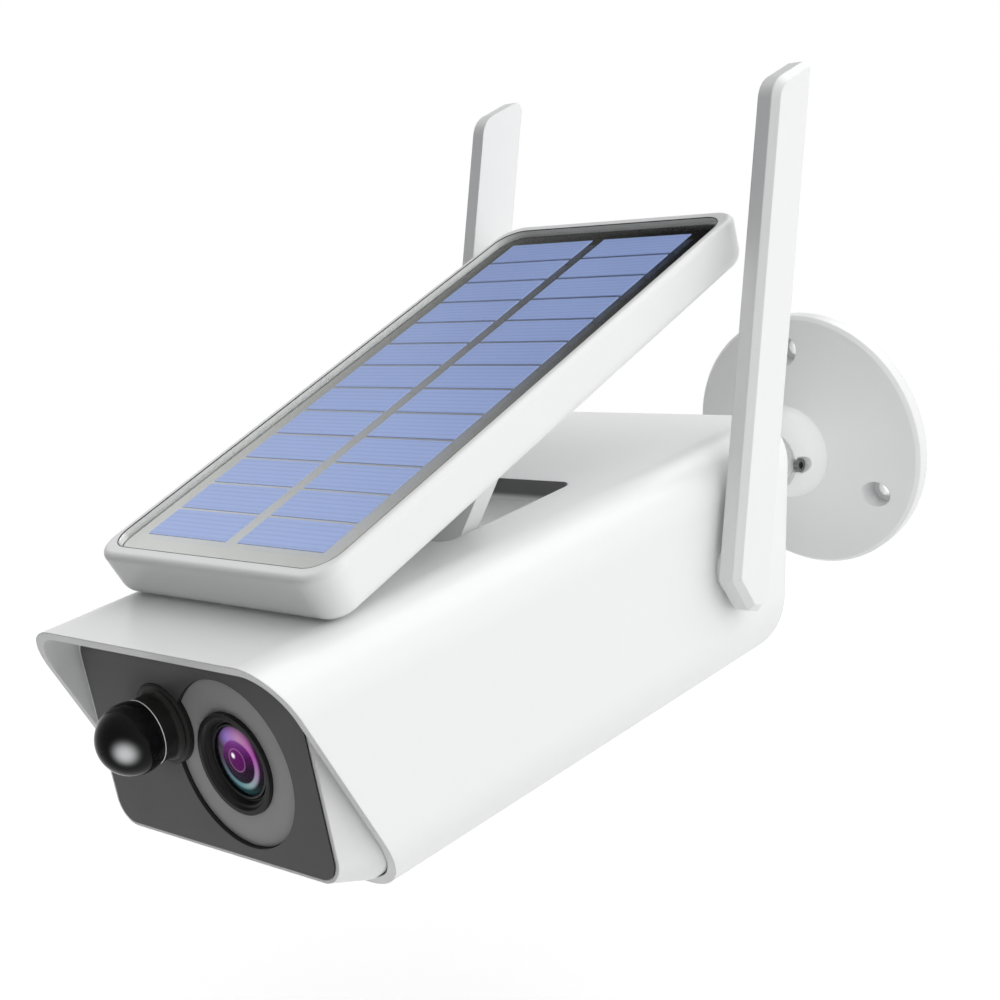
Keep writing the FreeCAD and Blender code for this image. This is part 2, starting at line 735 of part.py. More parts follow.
def make_outer_shell():
    """Wrap-around sleeve with raked ends, fold-away pocket on top and flap seat underneath."""
    body = new_body("outer_shell")
    outside = new_sketch(body, "front", "shell_rear_reach")
    shell_section(outside, "0")
    feature(body, "Pad", outside, "shell_front_reach - shell_rear_reach")
    cavity = new_sketch(body, "front", "shell_rear_reach - 1")
    shell_section(cavity, "shell_wall")
    feature(body, "Pocket", cavity, "shell_front_reach - shell_rear_reach + 2", reverse=True)

    # The tray that the bracket folds into hangs under the roof.
    tray = new_sketch(body, "top", "shell_top - pocket_depth - shell_wall")
    round_box(
        tray,
        "-(pocket_half_width + shell_wall)", "(pocket_half_width + shell_wall)",
        "-(pocket_front_reach + shell_wall)", "-(pocket_rear_reach - shell_wall)",
        "(pocket_corner_radius + shell_wall)", "(pocket_corner_radius + shell_wall)")
    feature(body, "Pad", tray, "pocket_depth + shell_wall / 2")
    pocket = new_sketch(body, "top", "shell_top - pocket_depth")
    round_box(
        pocket, "-pocket_half_width", "pocket_half_width", "-pocket_front_reach",
        "-pocket_rear_reach", "pocket_corner_radius", "pocket_corner_radius")
    feature(body, "Pocket", pocket, "pocket_depth + 1", reverse=True)

    # Thickened seat for the rubber service flap, with a window behind it.
    seat = new_sketch(body, "top", "shell_bottom + shell_wall / 2")
    flap_rear = "(flap_front_reach - flap_width)"
    seat_half = "(flap_length / 2 + flap_seat_border)"
    round_box(
        seat, "-" + seat_half, seat_half, "-(flap_front_reach + flap_seat_border)",
        "-(%s - flap_seat_border)" % flap_rear, "shell_wall", "shell_wall")
    feature(body, "Pad", seat, "flap_seat_thickness - shell_wall / 2")
    recess = new_sketch(body, "top", "shell_bottom + flap_thickness + flap_gap / 2")
    round_box(
        recess, "-(flap_length / 2 + flap_gap)", "(flap_length / 2 + flap_gap)",
        "-(flap_front_reach + flap_gap)", "-(%s - flap_gap)" % flap_rear,
        "flap_seat_corner", "flap_seat_corner")
    feature(body, "Pocket", recess, "2 * flap_thickness")
    window = new_sketch(body, "top", "shell_bottom + 2 * shell_wall")
    middle = "(flap_front_reach - flap_width / 2)"
    port_half = "(port_width / 2 + port_gap)"
    port_deep = "(port_depth / 2 + port_gap)"
    round_box(
        window, "(port_x - %s)" % port_half, "(port_x + %s)" % port_half,
        "-(%s + %s)" % (middle, port_deep), "-(%s - %s)" % (middle, port_deep), "1", "1")
    circle(window, "button_x", "-" + middle, "button_radius + running_gap")
    feature(body, "Pocket", window, "3 * shell_wall")

    # Rear corner bosses for the cap screws, standing just in front of the cap.
    for x, z in CAP_SCREWS:
        boss_start = rear_height_reach(z + " - cap_boss_size") + " + cap_inset + cap_thickness"
        bosses = new_sketch(body, "front", boss_start)
        pilots = new_sketch(body, "front", boss_start)
        for side in (-1, 1):
            circle(bosses, "%d * %s" % (side, x), z, "cap_boss_size")
            circle(pilots, "%d * %s" % (side, x), z, "cap_screw_radius")
        feature(body, "Pad", bosses, "cap_boss_length")
        feature(body, "Pocket", pilots, "cap_boss_length - 2", reverse=True)

    cut_rear(body, "0")
    visor = new_sketch(body, "side")
    low_front = "(shell_front_reach - front_rake * (shell_top - shell_bottom + 10))"
    outline(visor, [
        ("-shell_front_reach", "shell_top"),
        ("-(shell_front_reach + 4)", "shell_top + 10"),
        ("-(shell_front_reach + 40)", "shell_top + 10"),
        ("-(shell_front_reach + 40)", "shell_bottom - 10"),
        ("-" + low_front, "shell_bottom - 10"),
    ])
    feature(body, "Pocket", visor, "3 * shell_half_width", both_ways=True)

    # Holes: antenna pivots, bracket pin, speaker grille, microphone.
    pivots = new_sketch(body, "side")
    circle(pivots, "-antenna_pivot_reach", "antenna_pivot_z", "pivot_radius")
    feature(body, "Pocket", pivots, "3 * shell_half_width", both_ways=True)
    hinge = new_sketch(body, "side")
    circle(hinge, "-bracket_pivot_reach", "bracket_pivot_z", "hinge_pin_radius")
    feature(body, "Pocket", hinge, "2 * (pocket_half_width + shell_wall)", both_ways=True)
    underside = new_sketch(body, "top", "shell_bottom + shell_wall + 1")
    circle(underside, "microphone_x", "-microphone_reach", "microphone_hole_radius")
    circle(underside, "speaker_x", "-speaker_reach", "grille_hole_radius")
    for number in range(6):
        x, y = polar("grille_circle_radius", 60 * number)
        circle(underside, "speaker_x + " + x, "-speaker_reach + " + y, "grille_hole_radius")
    feature(body, "Pocket", underside, "3 * shell_wall")
    publish("outer_shell", body)


def make_rear_cap():
    """Raked closing plate with a flat round seat for the ball stud's flange."""
    body = new_body("rear_cap")
    block = new_sketch(body, "front", "shell_rear_reach")
    shell_section(block, "(shell_wall + cap_gap)")
    feature(body, "Pad", block, "2 * cap_boss_radius")
    cut_rear(body, "cap_inset")
    cut_front(body, "shell_rear_reach + cap_inset + cap_thickness")
    seat = new_sketch(body, "front", "flange_reach + flange_thickness")
    circle(seat, "0", "0", "cap_boss_radius")
    feature(body, "Pad", seat, "cap_seat_depth")
    holes = new_sketch(body, "front", "flange_reach")
    for angle in WALL_HOLE_ANGLES:
        x, z = polar("flange_screw_circle", angle)
        circle(holes, x, z, "flange_screw_radius")
    feature(body, "Pocket", holes, "flange_thickness + flange_screw_length", reverse=True)
    screws = new_sketch(body, "front", "shell_rear_reach - 5")
    for x, z in CAP_SCREWS:
        for side in (-1, 1):
            circle(screws, "%d * %s" % (side, x), z, "cap_screw_radius + 0.1")
    feature(body, "Pocket", screws, "60", reverse=True)
    for x, z in CAP_SCREWS:
        spots = new_sketch(body, "front", "shell_rear_reach - 5")
        for side in (-1, 1):
            circle(spots, "%d * %s" % (side, x), z, "cap_head_radius + 0.2")
        depth = cap_head_reach(z) + " - shell_rear_reach + 5"
        feature(body, "Pocket", spots, depth, reverse=True)
    publish("rear_cap", body)


def cap_head_reach(z):
    """Reach of the flat spot a cap screw's head bears on."""
    return rear_height_reach("(%s) - cap_head_radius" % z) + " + cap_inset + cap_head_sink"


def make_front_housing():
    """White nose that frames the dark front panel and carries the electronics."""
    body = new_body("front_housing")
    root = new_sketch(body, "front", "nose_root_reach")
    inset = "(shell_wall + housing_gap)"
    shell_section(root, inset)
    nose = new_sketch(body, "front", "nose_front_reach")
    round_box(
        nose, "-nose_half_width", "nose_half_width", "nose_bottom", "nose_top",
        "nose_radius", "nose_radius")
    loft = body.newObject("PartDesign::AdditiveLoft", "nose_loft")
    loft.Profile = root
    loft.Sections = [nose]
    doc.recompute()
    sleeve = new_sketch(body, "front", "housing_end_reach")
    shell_section(sleeve, inset)
    feature(body, "Pad", sleeve, "nose_root_reach - housing_end_reach")
    cavity = new_sketch(body, "front", "housing_end_reach - 1")
    round_box(
        cavity, "-cavity_half_width", "cavity_half_width", "cavity_bottom", "cavity_top",
        "nose_radius", "nose_radius")
    feature(body, "Pocket", cavity, "housing_front_wall_reach - housing_end_reach + 1", reverse=True)
    wide = new_sketch(body, "front", "housing_end_reach - 1")
    shell_section(wide, "(shell_wall + housing_gap + housing_wall)")
    feature(body, "Pocket", wide, "nose_root_reach - housing_end_reach - housing_wall", reverse=True)
    recess = new_sketch(body, "front", "panel_face_reach - panel_thickness")
    panel_outline(recess, "running_gap")
    feature(body, "Pocket", recess, "2 * panel_thickness", reverse=True)
    openings = new_sketch(body, "front", "housing_front_wall_reach - 1")
    circle(openings, "lens_x", "lens_z", "bezel_radius + running_gap")
    circle(openings, "pir_x", "pir_z", "pir_bore_radius")
    for x, z in led_positions():
        circle(openings, x, z, "led_radius + led_gap")
    feature(body, "Pocket", openings, "2 * panel_thickness", reverse=True)
    posts = new_sketch(body, "front", "camera_board_reach + board_thickness")
    pilots = new_sketch(body, "front", "camera_board_reach + board_thickness")
    for x, z in board_corners():
        circle(posts, x, z, "post_radius")
        circle(pilots, x, z, "board_screw_radius")
    post_length = "housing_front_wall_reach - camera_board_reach - board_thickness"
    feature(body, "Pad", posts, post_length + " + housing_wall / 2")
    feature(body, "Pocket", pilots, "board_screw_length", reverse=True)
    publish("front_housing", body)


def panel_outline(sketch, growth):
    round_box(
        sketch, "-(panel_half_width + %s)" % growth, "(panel_half_width + %s)" % growth,
        "(panel_bottom - %s)" % growth, "(panel_top + %s)" % growth,
        "(panel_radius + %s)" % growth, "(panel_radius + %s)" % growth)


def led_positions():
    """Five emitters on a circle about the lens, leaving out the one nearest the motion sensor."""
    away = math.degrees(math.atan2(size("lens_z - pir_z"), size("lens_x - pir_x")))
    spots = []
    for step in (-2, -1, 0, 1, 2):
        x, z = polar("led_circle_radius", away + 60 * step)
        spots.append(("lens_x + " + x, "lens_z + " + z))
    return spots


def board_corners():
    """Fixing points of the square camera board."""
    reach = "(camera_board_side / 2 - board_corner_inset)"
    return [("lens_x + %d * %s" % (i, reach), "lens_z + %d * %s" % (j, reach))
            for i in (-1, 1) for j in (-1, 1)]


def make_front_panel():
    """Dark flat panel with one opening for ring and lens and one for the motion sensor."""
    body = new_body("front_panel")
    plate = new_sketch(body, "front", "panel_face_reach - panel_thickness")
    panel_outline(plate, "0")
    feature(body, "Pad", plate, "panel_thickness")
    lens = new_sketch(body, "front", "panel_face_reach - panel_thickness - 1")
    circle(lens, "lens_x", "lens_z", "ring_radius + 2 * running_gap")
    feature(body, "Pocket", lens, "panel_thickness + 2", reverse=True)
    pir = new_sketch(body, "front", "panel_face_reach - panel_thickness - 1")
    circle(pir, "pir_x", "pir_z", "pir_flange_radius + running_gap")
    feature(body, "Pocket", pir, "panel_thickness + 2", reverse=True)
    publish("front_panel", body)


def make_lens_ring():
    """Grey smoked ring round the lens, bitten away where the sensor flange passes."""
    body = new_body("lens_ring")
    back = "panel_face_reach - panel_thickness"
    disc = new_sketch(body, "front", back)
    circle(disc, "lens_x", "lens_z", "ring_radius")
    feature(body, "Pad", disc, "ring_face_reach - panel_face_reach + panel_thickness")
    hole = new_sketch(body, "front", back + " - 1")
    circle(hole, "lens_x", "lens_z", "bezel_radius + running_gap")
    feature(body, "Pocket", hole, "2 * panel_thickness", reverse=True)
    bite = new_sketch(body, "front", back + " - 1")
    circle(bite, "pir_x", "pir_z", "pir_flange_radius + running_gap")
    feature(body, "Pocket", bite, "2 * panel_thickness", reverse=True)
    publish("lens_ring", body)


def turned(name, corners, x="lens_x", z="lens_z"):
    """A turned part about an axis parallel to Y; corners are (radius, -reach)."""
    body = new_body(name)
    profile = new_sketch(body, "top")
    outline(profile, corners)
    revolve(body, profile, "V_Axis")
    move(body, x, "0", z)
    return publish(name, body)


def make_lens_bezel():
    """Black stepped bezel between the ring and the lens."""
    turned("lens_bezel", [
        ("bezel_bore_radius", "-bezel_tail_reach"),
        ("bezel_radius", "-bezel_tail_reach"),
        ("bezel_radius", "-panel_face_reach"),
        ("bezel_lip_radius", "-panel_face_reach"),
        ("bezel_lip_radius - bezel_step_width / 2", "-(panel_face_reach - bezel_step_depth)"),
        ("bezel_lip_radius - bezel_step_width", "-(panel_face_reach - bezel_step_depth)"),
        ("bezel_bore_radius + bezel_floor_width", "-(panel_face_reach - bezel_floor_depth)"),
        ("bezel_bore_radius", "-(panel_face_reach - bezel_floor_depth)"),
    ])


def make_lens_barrel():
    """Threaded lens barrel with a wider head that seats the front glass."""
    turned("lens_barrel", [
        ("barrel_bore_radius", "-barrel_tail_reach"),
        ("barrel_thread_radius", "-barrel_tail_reach"),
        ("barrel_thread_radius", "-barrel_step_reach"),
        ("barrel_head_radius", "-barrel_step_reach"),
        ("barrel_head_radius", "-barrel_face_reach"),
        ("lens_radius", "-barrel_face_reach"),
        ("lens_radius", "-(barrel_face_reach - lens_rim_thickness)"),
        ("barrel_bore_radius", "-(barrel_face_reach - lens_rim_thickness)"),
    ])


def make_lens_glass():
    """Convex front element."""
    back = "-(barrel_face_reach - lens_rim_thickness)"
    sphere = "((lens_radius * lens_radius + lens_bulge * lens_bulge) / (2 * lens_bulge))"
    turned("lens_glass", [
        ("0", back),
        ("lens_radius", back),
        ("lens_radius", "-barrel_face_reach", (sphere, -1)),
        ("0", "-(barrel_face_reach + lens_bulge)"),
    ])


def make_camera_module():
    """Board, square lens holder and image sensor behind the lens."""
    half = "camera_board_side / 2"
    face = "(camera_board_reach + board_thickness)"
    board = box(
        "camera_board_blank", "lens_x - " + half, "lens_x + " + half, "camera_board_reach", face,
        "lens_z - " + half, "lens_z + " + half)
    drills = [rod("board_drill", "y", x, face + " + 1", z, "board_hole_radius",
                  "board_thickness + 2") for x, z in board_corners()]
    publish("camera_board", cut("camera_board_cut", board, *drills))
    side = "holder_side / 2"
    block = box("holder_block", "lens_x - " + side, "lens_x + " + side, face, "holder_face_reach",
                "lens_z - " + side, "lens_z + " + side)
    bore = rod("holder_bore", "y", "lens_x", "holder_face_reach + 1", "lens_z",
               "barrel_thread_radius + running_gap", "holder_face_reach - barrel_tail_reach + 2")
    half_room = "holder_room_side / 2"
    room = box("holder_room", "lens_x - " + half_room, "lens_x + " + half_room, face + " - 1",
               face + " + holder_room_depth", "lens_z - " + half_room, "lens_z + " + half_room)
    publish("lens_holder", cut("lens_holder_cut", block, bore, room))
    publish("image_sensor", box(
        "image_sensor_block", "lens_x - sensor_side / 2", "lens_x + sensor_side / 2", face,
        face + " + sensor_thickness", "lens_z - sensor_side / 2", "lens_z + sensor_side / 2"))


def make_leds():
    """Emitter board behind the ring and its five emitters."""
    face = "led_board_reach + led_board_thickness"

    def drill(x, z, radius):
        return rod("led_board_drill", "y", x, face + " + 1", z, radius, "led_board_thickness + 2")

    board = rod("led_board_blank", "y", "lens_x", face, "lens_z",
                "led_circle_radius + led_board_border", "led_board_thickness")
    hole = drill("lens_x", "lens_z", "bezel_radius + led_gap")
    gap = drill("pir_x", "pir_z", "pir_bore_radius + 2")
    notches = [drill(x, z, "post_radius + led_gap") for x, z in board_corners()]
    publish("led_board", cut("led_board_cut", board, hole, gap, *notches))
    start = size(face)
    emitters = []
    for x, z in led_positions():
        emitters.append(Part.makeCylinder(
            size("led_radius"), size("led_height"),
            FreeCAD.Vector(size(x), -start, size(z)), FreeCAD.Vector(0, -1, 0)))
    group("infrared_leds", emitters)


def make_motion_sensor():
    """Glossy ball dome on a collar, with the sensor can and its small board inside."""
    turned("pir_collar", [
        ("pir_bore_radius", "-(panel_face_reach - panel_thickness)"),
        ("pir_flange_radius", "-(panel_face_reach - panel_thickness)"),
        ("pir_flange_radius", "-(pir_flange_reach - pir_rim_bevel)"),
        ("pir_flange_radius - pir_rim_bevel", "-pir_flange_reach"),
        ("pir_neck_radius + pir_neck_fillet / 2", "-pir_flange_reach", ("pir_neck_fillet", 1)),
        ("pir_neck_radius", "-(pir_flange_reach + 1.2)"),
        ("pir_neck_radius", "-pir_seam_reach"),
        ("pir_bore_radius", "-pir_seam_reach"),
    ], "pir_x", "pir_z")
    inner = "(pir_ball_radius - pir_wall)"
    behind = "(pir_ball_reach - pir_seam_reach)"
    outer_rim = "sqrt(pir_ball_radius * pir_ball_radius - %s * %s)" % (behind, behind)
    inner_rim = "sqrt(%s * %s - %s * %s)" % (inner, inner, behind, behind)
    turned("pir_dome", [
        (inner_rim, "-pir_seam_reach"),
        (outer_rim, "-pir_seam_reach", ("pir_ball_radius", -1)),
        ("pir_ball_radius", "-pir_ball_reach", ("pir_ball_radius", -1)),
        ("0", "-(pir_ball_reach + pir_ball_radius)"),
        ("0", "-(pir_ball_reach + %s)" % inner, (inner, 1)),
        (inner, "-pir_ball_reach", (inner, 1)),
    ], "pir_x", "pir_z")
    board_face = "(pir_board_reach + pir_board_thickness)"
    publish("pir_board", rod("pir_board_disc", "y", "pir_x", board_face, "pir_z",
                             "pir_bore_radius - 2 * running_gap", "pir_board_thickness"))
    can = rod("pir_can", "y", "pir_x", board_face + " + pir_can_height", "pir_z", "pir_can_radius",
              "pir_can_height")
    brim = rod("pir_can_brim", "y", "pir_x", board_face + " + pir_brim_height", "pir_z",
               "pir_can_radius + pir_brim", "pir_brim_height")
    publish("pir_sensor", fuse("pir_sensor_solid", can, brim))


# ---------------------------------------------------------------- power, circuit and sound

def make_battery():
    """Two cylindrical cells lying side by side in a moulded holder with side wings."""
    rear = "(cell_front_reach - cell_length)"
    cells = []
    for side in (-0.5, 0.5):
        front = FreeCAD.Vector(
            side * size("cell_spacing"), -size("cell_front_reach"), size("cell_height"))
        can = Part.makeCylinder(
            size("cell_radius"), size("cell_length"), front, FreeCAD.Vector(0, 1, 0))
        cells.append(can.makeChamfer(size("cell_bevel"), can.Edges[0:1]))
    group("battery_cells", cells)
    half = "(cell_spacing / 2 + cell_radius + holder_wall)"
    floor = "cell_height - cell_radius - holder_wall"
    tray = box("holder_tray", "-" + half, half, rear + " - holder_wall - holder_play",
               "cell_front_reach + holder_wall + holder_play", floor, "cell_height - 1")
    span = "(shell_half_width - shell_wall - holder_side_gap)"
    wings = box("holder_wings", "-" + span, span, "cell_front_reach - wing_front - wing_length",
                "cell_front_reach - wing_front", floor, "cell_height - cell_radius")
    seats = [rod("holder_seat", "y", "%s * cell_spacing" % side, "cell_front_reach + holder_play",
                 "cell_height", "cell_radius + 2 * running_gap", "cell_length + 2 * holder_play")
             for side in (-0.5, 0.5)]
    publish("battery_holder", cut("holder_cut", fuse("holder_solid", tray, wings), *seats))


# Components under the main board: name, left edge, distance from the rear edge, width, length, height.
BOARD_CHIPS = (
    ("processor", -6, 8, 14, 14, 1.4),
    ("radio_module", 10, 2, 15, 20, 2.2),
    ("card_socket", 12, 50, 14, 15, 1.8),
)


def make_main_board():
    """Main circuit board with its processor, radio module and card socket."""
    rear = "(main_board_front_reach - main_board_length)"
    top = "(main_board_bottom + board_thickness)"
    pieces = [box("board_plate", "-main_board_width / 2", "main_board_width / 2", rear,
                  "main_board_front_reach", "main_board_bottom", top)]
    for label, x, along, width, length, height in BOARD_CHIPS:
        pieces.append(box(
            label, str(x), str(x + width), "%s + %s" % (rear, along),
            "%s + %s" % (rear, along + length), "main_board_bottom - %s" % height,
            "main_board_bottom"))
    publish("main_board", fuse("main_board_solid", *pieces))
    middle = "(flap_front_reach - flap_width / 2)"
    shell = box("port_shell", "port_x - port_width / 2", "port_x + port_width / 2",
                middle + " - port_depth / 2", middle + " + port_depth / 2", "port_bottom",
                "main_board_bottom")
    mouth_half = "(port_width / 2 - port_sheet)"
    mouth_deep = "(port_depth / 2 - port_sheet)"
    mouth = box("port_mouth", "port_x - " + mouth_half, "port_x + " + mouth_half,
                middle + " - " + mouth_deep, middle + " + " + mouth_deep,
                "port_bottom - 1", "port_bottom + port_mouth_depth")
    tongue = box("port_tongue", "port_x - port_tongue_width / 2", "port_x + port_tongue_width / 2",
                 middle + " - port_sheet", middle + " + port_sheet", "port_bottom + port_gap",
                 "port_bottom + port_mouth_depth + port_sheet / 2")
    publish("charge_port", fuse("charge_port_solid", cut("port_cut", shell, mouth), tongue))
    publish("button_switch", box(
        "switch_body", "button_x - switch_side / 2", "button_x + switch_side / 2",
        middle + " - switch_side / 2", middle + " + switch_side / 2",
        "switch_bottom", "main_board_bottom"))


def make_sound():
    """Speaker and microphone resting on the shell's floor."""
    floor = "(shell_bottom + shell_wall)"
    basket_height = "(speaker_height - magnet_height)"
    magnet = rod("speaker_magnet", "z", "speaker_x", "speaker_reach", floor + " + " + basket_height,
                 "magnet_radius", "magnet_height")
    basket = rod("speaker_basket", "z", "speaker_x", "speaker_reach", floor,
                 "speaker_radius", basket_height)
    publish("speaker", fuse("speaker_solid", basket, magnet))
    publish("microphone", rod("microphone_can", "z", "microphone_x", "microphone_reach", floor,
                              "microphone_radius", "microphone_height"))


def make_service_flap():
    """Rubber flap over the port and button, rounded along its hinge edge; and the button."""
    body = new_body("service_flap")
    half = "flap_thickness / 2"
    profile = new_sketch(body, "side")
    outline(profile, [
        ("0", "-" + half),
        ("flap_width - " + half, "-" + half),
        ("flap_width - " + half, half),
        ("0", half, (half, 1)),
        ("-" + half, "0", (half, 1)),
    ])
    feature(body, "Pad", profile, "flap_length", both_ways=True)
    move(body, "0", "-(flap_front_reach - %s)" % half, "shell_bottom + " + half)
    publish("service_flap", body)
    middle = "(flap_front_reach - flap_width / 2)"
    stem = rod("button_stem", "z", "button_x", middle, "button_bottom", "button_radius",
               "button_top - button_bottom")
    brim = rod("button_brim", "z", "button_x", middle,
               "shell_bottom + flap_seat_thickness + button_flange_gap",
               "button_flange_radius", "button_flange_thickness")
    publish("power_button", fuse("power_button_solid", stem, brim))


# ---------------------------------------------------------------- antennas

def make_antenna(side):
    """Flat paddle on the side wall; side +1 is +X.  Its local Z runs up the blade."""
    name = "antenna_right" if side > 0 else "antenna_left"
    body = new_body(name)
    half = "antenna_width / 2"
    inner = "%d * antenna_inner_x" % side
    front = "antenna_head_front_radius"
    rear = "antenna_head_rear_radius"
    # Centres of the head's two rounds; the sloping top edge touches both.
    slope_cos = "cos(antenna_head_angle * 1 deg)"
    slope_sin = "sin(antenna_head_angle * 1 deg)"
    run = "((antenna_width - %s - %s + (%s - %s) * %s) / %s)" % (
        front, rear, front, rear, slope_sin, slope_cos)
    rear_y = "(%s - %s)" % (half, rear)
    rear_z = "(antenna_rise - %s)" % rear
    front_y = "(%s - %s)" % (front, half)
    front_z = "(%s - %s * %s - (%s - %s) * %s)" % (
        rear_z, run, slope_sin, front, rear, slope_cos)
    blade = new_sketch(body, "side", inner)
    outline(blade, [
        ("-(%s)" % half, "-(antenna_drop - antenna_foot_slope)"),
        ("-(%s - antenna_foot_run)" % half, "-antenna_drop"),
        ("(%s - antenna_foot_bevel)" % half, "-antenna_drop"),
        (half, "-(antenna_drop - antenna_foot_bevel)"),
        (half, rear_z, (rear, 1)),
        ("%s - %s * %s" % (rear_y, rear, slope_sin), "%s + %s * %s" % (rear_z, rear, slope_cos)),
        ("%s - %s * %s" % (front_y, front, slope_sin),
         "%s + %s * %s" % (front_z, front, slope_cos), (front, 1)),
        ("-(%s)" % half, front_z),
    ])
    feature(body, "Pad", blade, "antenna_thickness", reverse=side < 0)
    outer = size("antenna_inner_x + antenna_thickness") * side
    rim = edges_where(body, lambda p: abs(p.x - outer) < 1e-4)
    dress(body, "Chamfer", rim, "antenna_edge_bevel")
    hole = new_sketch(body, "side", inner)
    circle(hole, "0", "0", "pivot_radius + running_gap")
    feature(body, "Pocket", hole, "antenna_thickness - antenna_skin", reverse=side > 0)
    move(body, "0", "-antenna_pivot_reach", "antenna_pivot_z", -size("antenna_lean"))
    publish(name, body)


def make_antenna_pivots():
    """Two headed pivots that clamp through the shell's side walls."""
    pivots = []
    wall = size("shell_half_width")
    for side in (-1, 1):
        out = FreeCAD.Vector(side, 0, 0)
        centre = FreeCAD.Vector(0, -size("antenna_pivot_reach"), size("antenna_pivot_z"))

        def slice_of(radius, start, end):
            return Part.makeCylinder(size(radius), end - start, centre + out * start, out)

        gap = size("pivot_seat_gap")
        inner_face = wall - size("shell_wall") - gap
        nut_start = inner_face - size("pivot_nut_thickness")
        tip = size("antenna_inner_x + antenna_thickness - antenna_skin - pivot_end_gap")
        shaft = slice_of("pivot_radius", nut_start - 1, tip)
        washer = slice_of("pivot_washer_radius", wall + gap,
                          size("antenna_inner_x - pivot_washer_play"))
        nut = slice_of("pivot_nut_radius", nut_start, inner_face)
        pivots.append(shaft.fuse([washer, nut]).removeSplitter())
    group("antenna_pivots", pivots)


# ---------------------------------------------------------------- bracket and solar panel

def bracket_tip():
    """World position of the pivot between bracket and solar panel."""
    turn = math.radians(size("bracket_angle"))
    reach = size("bracket_pivot_reach") - size("bracket_length") * math.cos(turn)
    return FreeCAD.Vector(0, -reach, size("bracket_pivot_z") + size("bracket_length") * math.sin(turn))


def make_bracket():
    """Wide prop between shell and solar panel; its local Y runs from lower to upper pivot."""
    body = new_body("panel_bracket")
    half = "bracket_thickness / 2"
    profile = new_sketch(body, "side")
    outline(profile, [
        ("0", "-" + half),
        ("bracket_length", "-" + half, (half, 1)),
        ("bracket_length + " + half, "0", (half, 1)),
        ("bracket_length", half),
        ("0", half, (half, 1)),
        ("-" + half, "0", (half, 1)),
    ])
    feature(body, "Pad", profile, "2 * bracket_half_width", both_ways=True)
    shoulders = new_sketch(body, "top", half + " + 1")
    root = "(bracket_length - lug_radius - bracket_lug_gap)"
    beyond = "bracket_length + bracket_thickness"
    for near, far in (("bracket_tongue_half_width", "bracket_half_width + 1"),
                      ("-(bracket_half_width + 1)", "-bracket_tongue_half_width")):
        outline(shoulders, [
            (near, root), (far, root), (far, beyond), (near, beyond)])
    feature(body, "Pocket", shoulders, "bracket_thickness + 2")
    bores = new_sketch(body, "side")
    circle(bores, "0", "0", "hinge_pin_radius + running_gap")
    circle(bores, "bracket_length", "0", "hinge_pin_radius + running_gap")
    feature(body, "Pocket", bores, "3 * bracket_half_width", both_ways=True)
    move(body, "0", "-bracket_pivot_reach", "bracket_pivot_z", size("bracket_angle"))
    publish("panel_bracket", body)
    reach = "(pocket_half_width + shell_wall)"
    publish("bracket_pin", rod("bracket_pin_rod", "x", "-" + reach, "bracket_pivot_reach",
                               "bracket_pivot_z", "hinge_pin_radius", "2 * " + reach))
    tip = bracket_tip()
    pin = Part.makeCylinder(size("hinge_pin_radius"), 2 * size("lug_outer_x"),
                            FreeCAD.Vector(-size("lug_outer_x"), tip.y, tip.z), FreeCAD.Vector(1, 0, 0))
    group("panel_pin", [pin])


def place_on_panel(thing):
    """Moves a piece drawn about the glass centre to its tilted place above the bracket."""
    turn = FreeCAD.Rotation(FreeCAD.Vector(1, 0, 0), size("solar_tilt"))
    offset = FreeCAD.Vector(0, size("lug_forward"), size("frame_depth + lug_pin_depth"))
    thing.Placement = FreeCAD.Placement(bracket_tip() + turn.multVec(offset), turn)


def centred_box(sketch, width, length, radius):
    round_box(sketch, "-(%s) / 2" % width, "(%s) / 2" % width, "-(%s) / 2" % length,
              "(%s) / 2" % length, "(%s)" % radius, "(%s)" % radius)


def make_panel_frame():
    """White tray that holds glass and cells, with two lugs underneath for the pin."""
    body = new_body("panel_frame")
    floor = new_sketch(body, "top", "-frame_depth")
    centred_box(floor, "frame_width - 2 * frame_draft", "frame_length - 2 * frame_draft",
                "frame_corner_radius - frame_draft")
    tray = feature(body, "Pad", floor, "frame_depth + frame_lip")
    tray.setExpression(
        "TaperAngle", "atan(%s)" % linked("frame_draft / (frame_depth + frame_lip)"))
    doc.recompute()
    bottom = edges_where(body, lambda p: abs(p.z + size("frame_depth")) < 1e-4)
    dress(body, "Fillet", bottom, "frame_bottom_radius")
    top = edges_where(body, lambda p: abs(p.z - size("frame_lip")) < 1e-4)
    dress(body, "Fillet", top, "frame_top_radius")
    pane = new_sketch(body, "top", "frame_lip")
    centred_box(pane, "glass_width + 2 * glass_gap", "glass_length + 2 * glass_gap",
                "glass_radius + glass_gap")
    feature(body, "Pocket", pane,
            "frame_lip + glass_thickness + 3 * glass_gap + cell_sheet_thickness")
    hollow = new_sketch(body, "top", "0")
    centred_box(hollow, "glass_width - 2 * frame_ledge", "glass_length - 2 * frame_ledge",
                "glass_radius - 2")
    feature(body, "Pocket", hollow, "frame_depth - frame_floor")
    for start in ("lug_inner_x", "-lug_outer_x"):
        lug = new_sketch(body, "side", start)
        pivot = "-(frame_depth + lug_pin_depth)"
        outline(lug, [
            ("-lug_forward - lug_radius", pivot, ("lug_radius", 1)),
            ("-lug_forward", pivot + " - lug_radius", ("lug_radius", 1)),
            ("-lug_forward + lug_radius", pivot),
            ("-lug_forward + lug_radius", "-(frame_depth - 0.5)"),
            ("-lug_forward - lug_radius", "-(frame_depth - 0.5)"),
        ])
        feature(body, "Pad", lug, "lug_outer_x - lug_inner_x")
    bore = new_sketch(body, "side")
    circle(bore, "-lug_forward", "-(frame_depth + lug_pin_depth)", "hinge_pin_radius")
    feature(body, "Pocket", bore, "2 * lug_outer_x + 2", both_ways=True)
    place_on_panel(body)
    publish("panel_frame", body)


